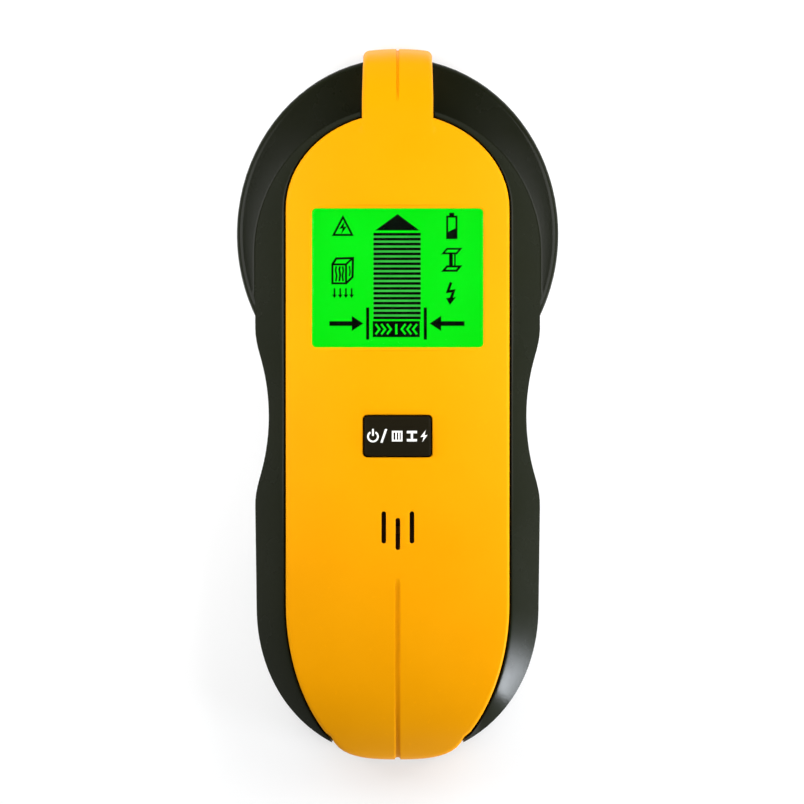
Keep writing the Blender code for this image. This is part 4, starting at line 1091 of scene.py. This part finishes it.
def display_shapes():
    """Outlines of every segment in millimetres from the middle of the display, by name."""
    bars = [9.9 - 1.115 * i for i in range(18)]
    chevrons = []
    for x, way in ((-4.55, 1), (-3.25, 1), (-1.95, 1), (1.35, -1), (2.65, -1), (3.95, -1)):
        back, tip = x - way * 0.45, x + way * 0.45
        chevrons.append(stroke([(back, -10.45), (tip, -11.6), (back, -12.75)], 0.46))
    return {
        "hazard": frame_loops([(-14.95, 9.5), (-9.95, 9.5), (-12.42, 14.25)], 0.46),
        "hazard_bolt": [bolt_loop(-12.42, 11.35, 2.9)],
        "block_front": frame_loops(rectangle(-15.05, -1.45, -11.5, 3.3), 0.46),
        "block_top": [stroke([(-14.8, 3.1), (-13.95, 4.4), (-10.15, 4.5), (-10.25, 0.2),
                              (-11.7, -1.2)], 0.50)],
        "block_edge": [stroke([(-11.75, 3.1), (-10.4, 4.3)], 0.44)],
        "block_grain_1": [stroke([(-14.05, -0.75), (-13.85, 0.5), (-14.1, 1.7),
                                  (-13.95, 2.6)], 0.38)],
        "block_grain_2": [stroke([(-13.25, -0.75), (-13.05, 0.7), (-13.25, 2.0),
                                  (-13.1, 2.6)], 0.44)],
        "block_grain_3": [stroke([(-12.4, -0.75), (-12.55, 0.6), (-12.35, 1.6),
                                  (-12.5, 2.6)], 0.38)],
        "block_grain_4": [stroke([(-10.95, 0.4), (-10.8, 1.4), (-10.95, 2.7)], 0.32)],
        "depth": [down_arrow(x, -2.35, -4.55) for x in (-14.35, -13.05, -11.75, -10.45)],
        "pointer_head": [[(-5.1, 10.75), (5.0, 10.75), (0.0, 14.45)]],
        "bars": [rectangle(-5.5, y - 0.31, 5.25, y + 0.31) for y in bars],
        "centre_box": [rectangle(-5.65, -13.4, 5.05, -9.75),
                       rectangle(-0.55, -12.75, -0.05, -10.45)] + chevrons,
        "posts": [rectangle(-7.15, -13.95, -6.45, -6.7), rectangle(5.95, -13.95, 6.65, -6.7)],
        "arrow_left": [[(-15.5, -10.85), (-10.4, -10.85), (-10.4, -12.0), (-7.8, -10.3),
                        (-10.4, -8.6), (-10.4, -9.8), (-15.5, -9.8)]],
        "arrow_right": [[(15.2, -9.8), (9.9, -9.8), (9.9, -8.6), (7.3, -10.3),
                         (9.9, -12.0), (9.9, -10.85), (15.2, -10.85)]],
        "battery": frame_loops(rectangle(11.05, 8.8, 13.6, 14.1), 0.44),
        "battery_cap": [rectangle(11.75, 14.1, 12.85, 14.75)],
        "battery_level": [[(11.4, 9.1), (13.3, 9.1), (13.3, 11.3), (11.4, 10.4)]],
        "beam_top": frame_loops([(9.9, 5.35), (13.5, 5.35), (14.75, 6.8), (11.15, 6.8)], 0.42),
        "beam_web": [rectangle(11.7, 2.5, 12.55, 5.6)],
        "beam_web_edge": [rectangle(12.85, 2.8, 13.2, 5.6)],
        "beam_foot": frame_loops([(9.9, 1.4), (13.5, 1.4), (14.75, 2.85), (11.15, 2.85)], 0.48),
        "bolt": [stroke([(12.15, -1.0), (11.4, -3.1), (12.75, -2.9), (12.05, -4.9)], 0.60)],
        "bolt_tip": [[(11.0, -4.55), (13.25, -4.35), (11.9, -6.1)]],
    }


def build_display_art():
    """Symbols: hazard, material, depth, level bars, pointers, battery, beam and live wire."""
    centre = (0.0, WINDOW_Y)
    low_z = LCD_TOP_Z + 0.02 * MM
    for name, loops in display_shapes().items():
        piece = flat_shape("art_" + name, loops, centre, low_z, 0.02 * MM, INK)
        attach(piece, "housing")
    ground = flat_shape("art_bar_ground", [rectangle(-5.5, -9.3, 5.25, 10.2)], centre,
                        LCD_TOP_Z + 0.004 * MM, 0.01 * MM, HALF_TONE)
    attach(ground, "housing")


def build_key_print():
    """White symbols on the key: power, a slash and the three scan modes."""
    turns = [radians(122.0 + 296.0 * i / 28) for i in range(29)]
    outer, inner = [[(-5.6 + radius * cos(turn), -0.1 + radius * sin(turn)) for turn in turns]
                    for radius in (1.32, 0.92)]
    marks = {
        "power_ring": [outer + inner[::-1]],
        "power_bar": [rectangle(-5.8, 0.05, -5.4, 1.65)],
        "slash": [[(-3.9, -1.45), (-3.4, -1.45), (-2.35, 1.6), (-2.85, 1.6)]],
        "wood": frame_loops(rectangle(-1.3, -1.2, 1.1, 1.2), 0.38)
        + [rectangle(-0.5, -0.82, -0.2, 0.82), rectangle(0.15, -0.82, 0.45, 0.82)],
        "beam": [[(2.1, 1.2), (2.1, 0.65), (3.0, 0.65), (3.0, -0.65), (2.1, -0.65), (2.1, -1.2),
                  (4.4, -1.2), (4.4, -0.65), (3.5, -0.65), (3.5, 0.65), (4.4, 0.65), (4.4, 1.2)]],
        "bolt": [bolt_loop(6.0, 0.0, 2.7)],
    }
    low_z = KEY_HIGH.z - 0.045 * MM
    for name, loops in marks.items():
        piece = flat_shape("print_" + name, loops, (0.0, KEY_Y), low_z, 0.05 * MM, PRINT)
        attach(piece, "key")


def screw_profile(low_z, high_z, radius):
    """Radius and height of a pan-head screw: domed head, ridged shaft and a blunt point."""
    head, end = low_z + 2.1 * MM, high_z - 2.0 * MM
    core, ridge, pitch = 1.05 * MM, 1.35 * MM, 1.1 * MM
    profile = [(0.0, low_z), (radius * 0.70, low_z), (radius * 0.92, low_z + 0.2 * MM),
               (radius, low_z + 0.6 * MM), (radius, head), (ridge, head), (core, head + 0.5 * MM)]
    z = head + 1.0 * MM
    while z + pitch < end:
        profile += [(core, z), (ridge, z + pitch * 0.45), (core, z + pitch * 0.85)]
        z += pitch
    return profile + [(core, end), (0.25 * MM, high_z), (0.0, high_z)]


def build_screws():
    """Pan-head screws with a cross recess and a ridged shaft, in place of the plain ones."""
    for index in range(1, 5):
        low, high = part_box("housing_screw_%d" % index)
        x, y = screw_centre(index)
        radius = (high.x - low.x) / 2.0
        profile = screw_profile(low.z, high.z, radius)
        screw = solid("screw_skin_%d" % index, turned(profile, (x, y), 32), STEEL)
        slot, blade = radius * 0.60, radius * 0.15
        start, end = low.z - MM, low.z + 1.2 * MM
        cut(screw,
            box((x - slot, y - blade, start), (x + slot, y + blade, end)),
            box((x - blade, y - slot, start), (x + blade, y + slot, end)))
        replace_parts(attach(screw, "housing"), "housing_screw_%d" % index)


# ---- Stage, light and camera ----

DOME_HORIZON = 0.70
DOME_ZENITH = 0.06
NEUTRAL = (1.0, 1.0, 1.0)
COOL = (0.88, 0.93, 1.0)
LAMPS = (
    # name, place, target, width and height, power; then seen in reflections or not, and colour
    ("key_light", (0.11, 0.035, 0.13), (0.0, 0.02, 0.02), (0.14, 0.14), 0.322),
    ("fill_light", (-0.11, 0.035, 0.13), (0.0, 0.02, 0.02), (0.14, 0.14), 0.302),
    ("edge_light", (0.2536, -0.1638, 0.042), (0.025, -0.062, 0.024), (0.075, 0.082), 0.88,
     True, COOL),
    ("nose_light", (0.0, 0.30, 0.06), (0.0, 0.075, 0.015), (0.30, 0.08), 0.50, False),
    ("chin_light", (0.07, -0.30, 0.05), (0.0, -0.075, 0.015), (0.14, 0.08), 0.115),
)
FLOOR_GLOW = 0.56
VIEW_WIDTH = 183.2 * MM
VIEW_FOCUS = (1.0 * MM, 0.4 * MM, 15.0 * MM)


def build_stage():
    """A pale floor under the object, with a faint glow that keeps the shadow light."""
    bm = bmesh.new()
    bmesh.ops.create_grid(bm, x_segments=8, y_segments=8, size=2.0)
    floor = solid("floor", bm, WHITE)
    s = Shader("pale_floor")
    patch = s.ramp(s.noise(6.0), 0.3, 0.7)
    s.set(Base_Color=s.blend(patch, (0.46, 0.46, 0.46), (0.44, 0.44, 0.44)),
          Roughness=s.ramp(s.noise(20.0), 0.3, 0.7, 0.80, 0.90),
          Specular_IOR_Level=0.1, Emission_Color=NEUTRAL, Emission_Strength=FLOOR_GLOW)
    floor.data.materials.clear()
    floor.data.materials.append(s.material)


def area_light(name, place, target, size, power, mirrored=True, colour=NEUTRAL):
    """A soft box that points at a target, out of the camera's sight."""
    data = bpy.data.lights.new(name, "AREA")
    data.shape = "RECTANGLE"
    data.size, data.size_y = size
    data.energy = power
    data.color = colour
    lamp = add_object(name, data)
    lamp.location = place
    lamp.visible_camera = False
    lamp.visible_glossy = mirrored
    lamp.rotation_euler = (Vector(target) - Vector(place)).to_track_quat("-Z", "Y").to_euler()


def build_light():
    """A dome that darkens overhead, two close soft boxes, and low ones at side, nose and chin."""
    world = bpy.data.worlds.new("studio")
    world.use_nodes = True
    tree = world.node_tree
    coordinates = tree.nodes.new("ShaderNodeTexCoord")
    split = tree.nodes.new("ShaderNodeSeparateXYZ")
    fade = tree.nodes.new("ShaderNodeMapRange")
    fade.inputs["To Min"].default_value = DOME_HORIZON
    fade.inputs["To Max"].default_value = DOME_ZENITH
    tree.links.new(coordinates.outputs["Generated"], split.inputs["Vector"])
    tree.links.new(split.outputs["Z"], fade.inputs["Value"])
    tree.links.new(fade.outputs["Result"], tree.nodes["Background"].inputs["Strength"])
    tree.nodes["Background"].inputs["Color"].default_value = (*NEUTRAL, 1.0)
    bpy.context.scene.world = world
    for lamp in LAMPS:
        area_light(*lamp)


def build_camera():
    """Straight down on the display with a long lens, framed a little wider than the object."""
    data = bpy.data.cameras.new("camera")
    data.lens = 900.0
    data.sensor_width = 36.0
    data.clip_end = 20.0
    camera = add_object("camera", data)
    distance = VIEW_WIDTH * data.lens / data.sensor_width
    camera.location = Vector(VIEW_FOCUS) + Vector((0.0, 0.0, distance))
    bpy.context.scene.camera = camera
    bpy.context.scene.view_settings.view_transform = "Standard"


# ---- Put together ----

build_camera()
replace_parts(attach(build_housing(), "housing"), "front_housing")
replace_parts(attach(build_cover(), "housing"), "front_cover")
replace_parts(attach(build_rear(), "housing"), "rear_cover")
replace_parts(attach(build_door(), "door"), "battery_door")
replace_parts(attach(build_lens(), "housing"), "display_lens")
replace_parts(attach(build_key(), "key"), "button_cap")
build_display_art()
build_key_print()
build_screws()
build_stage()
build_light()
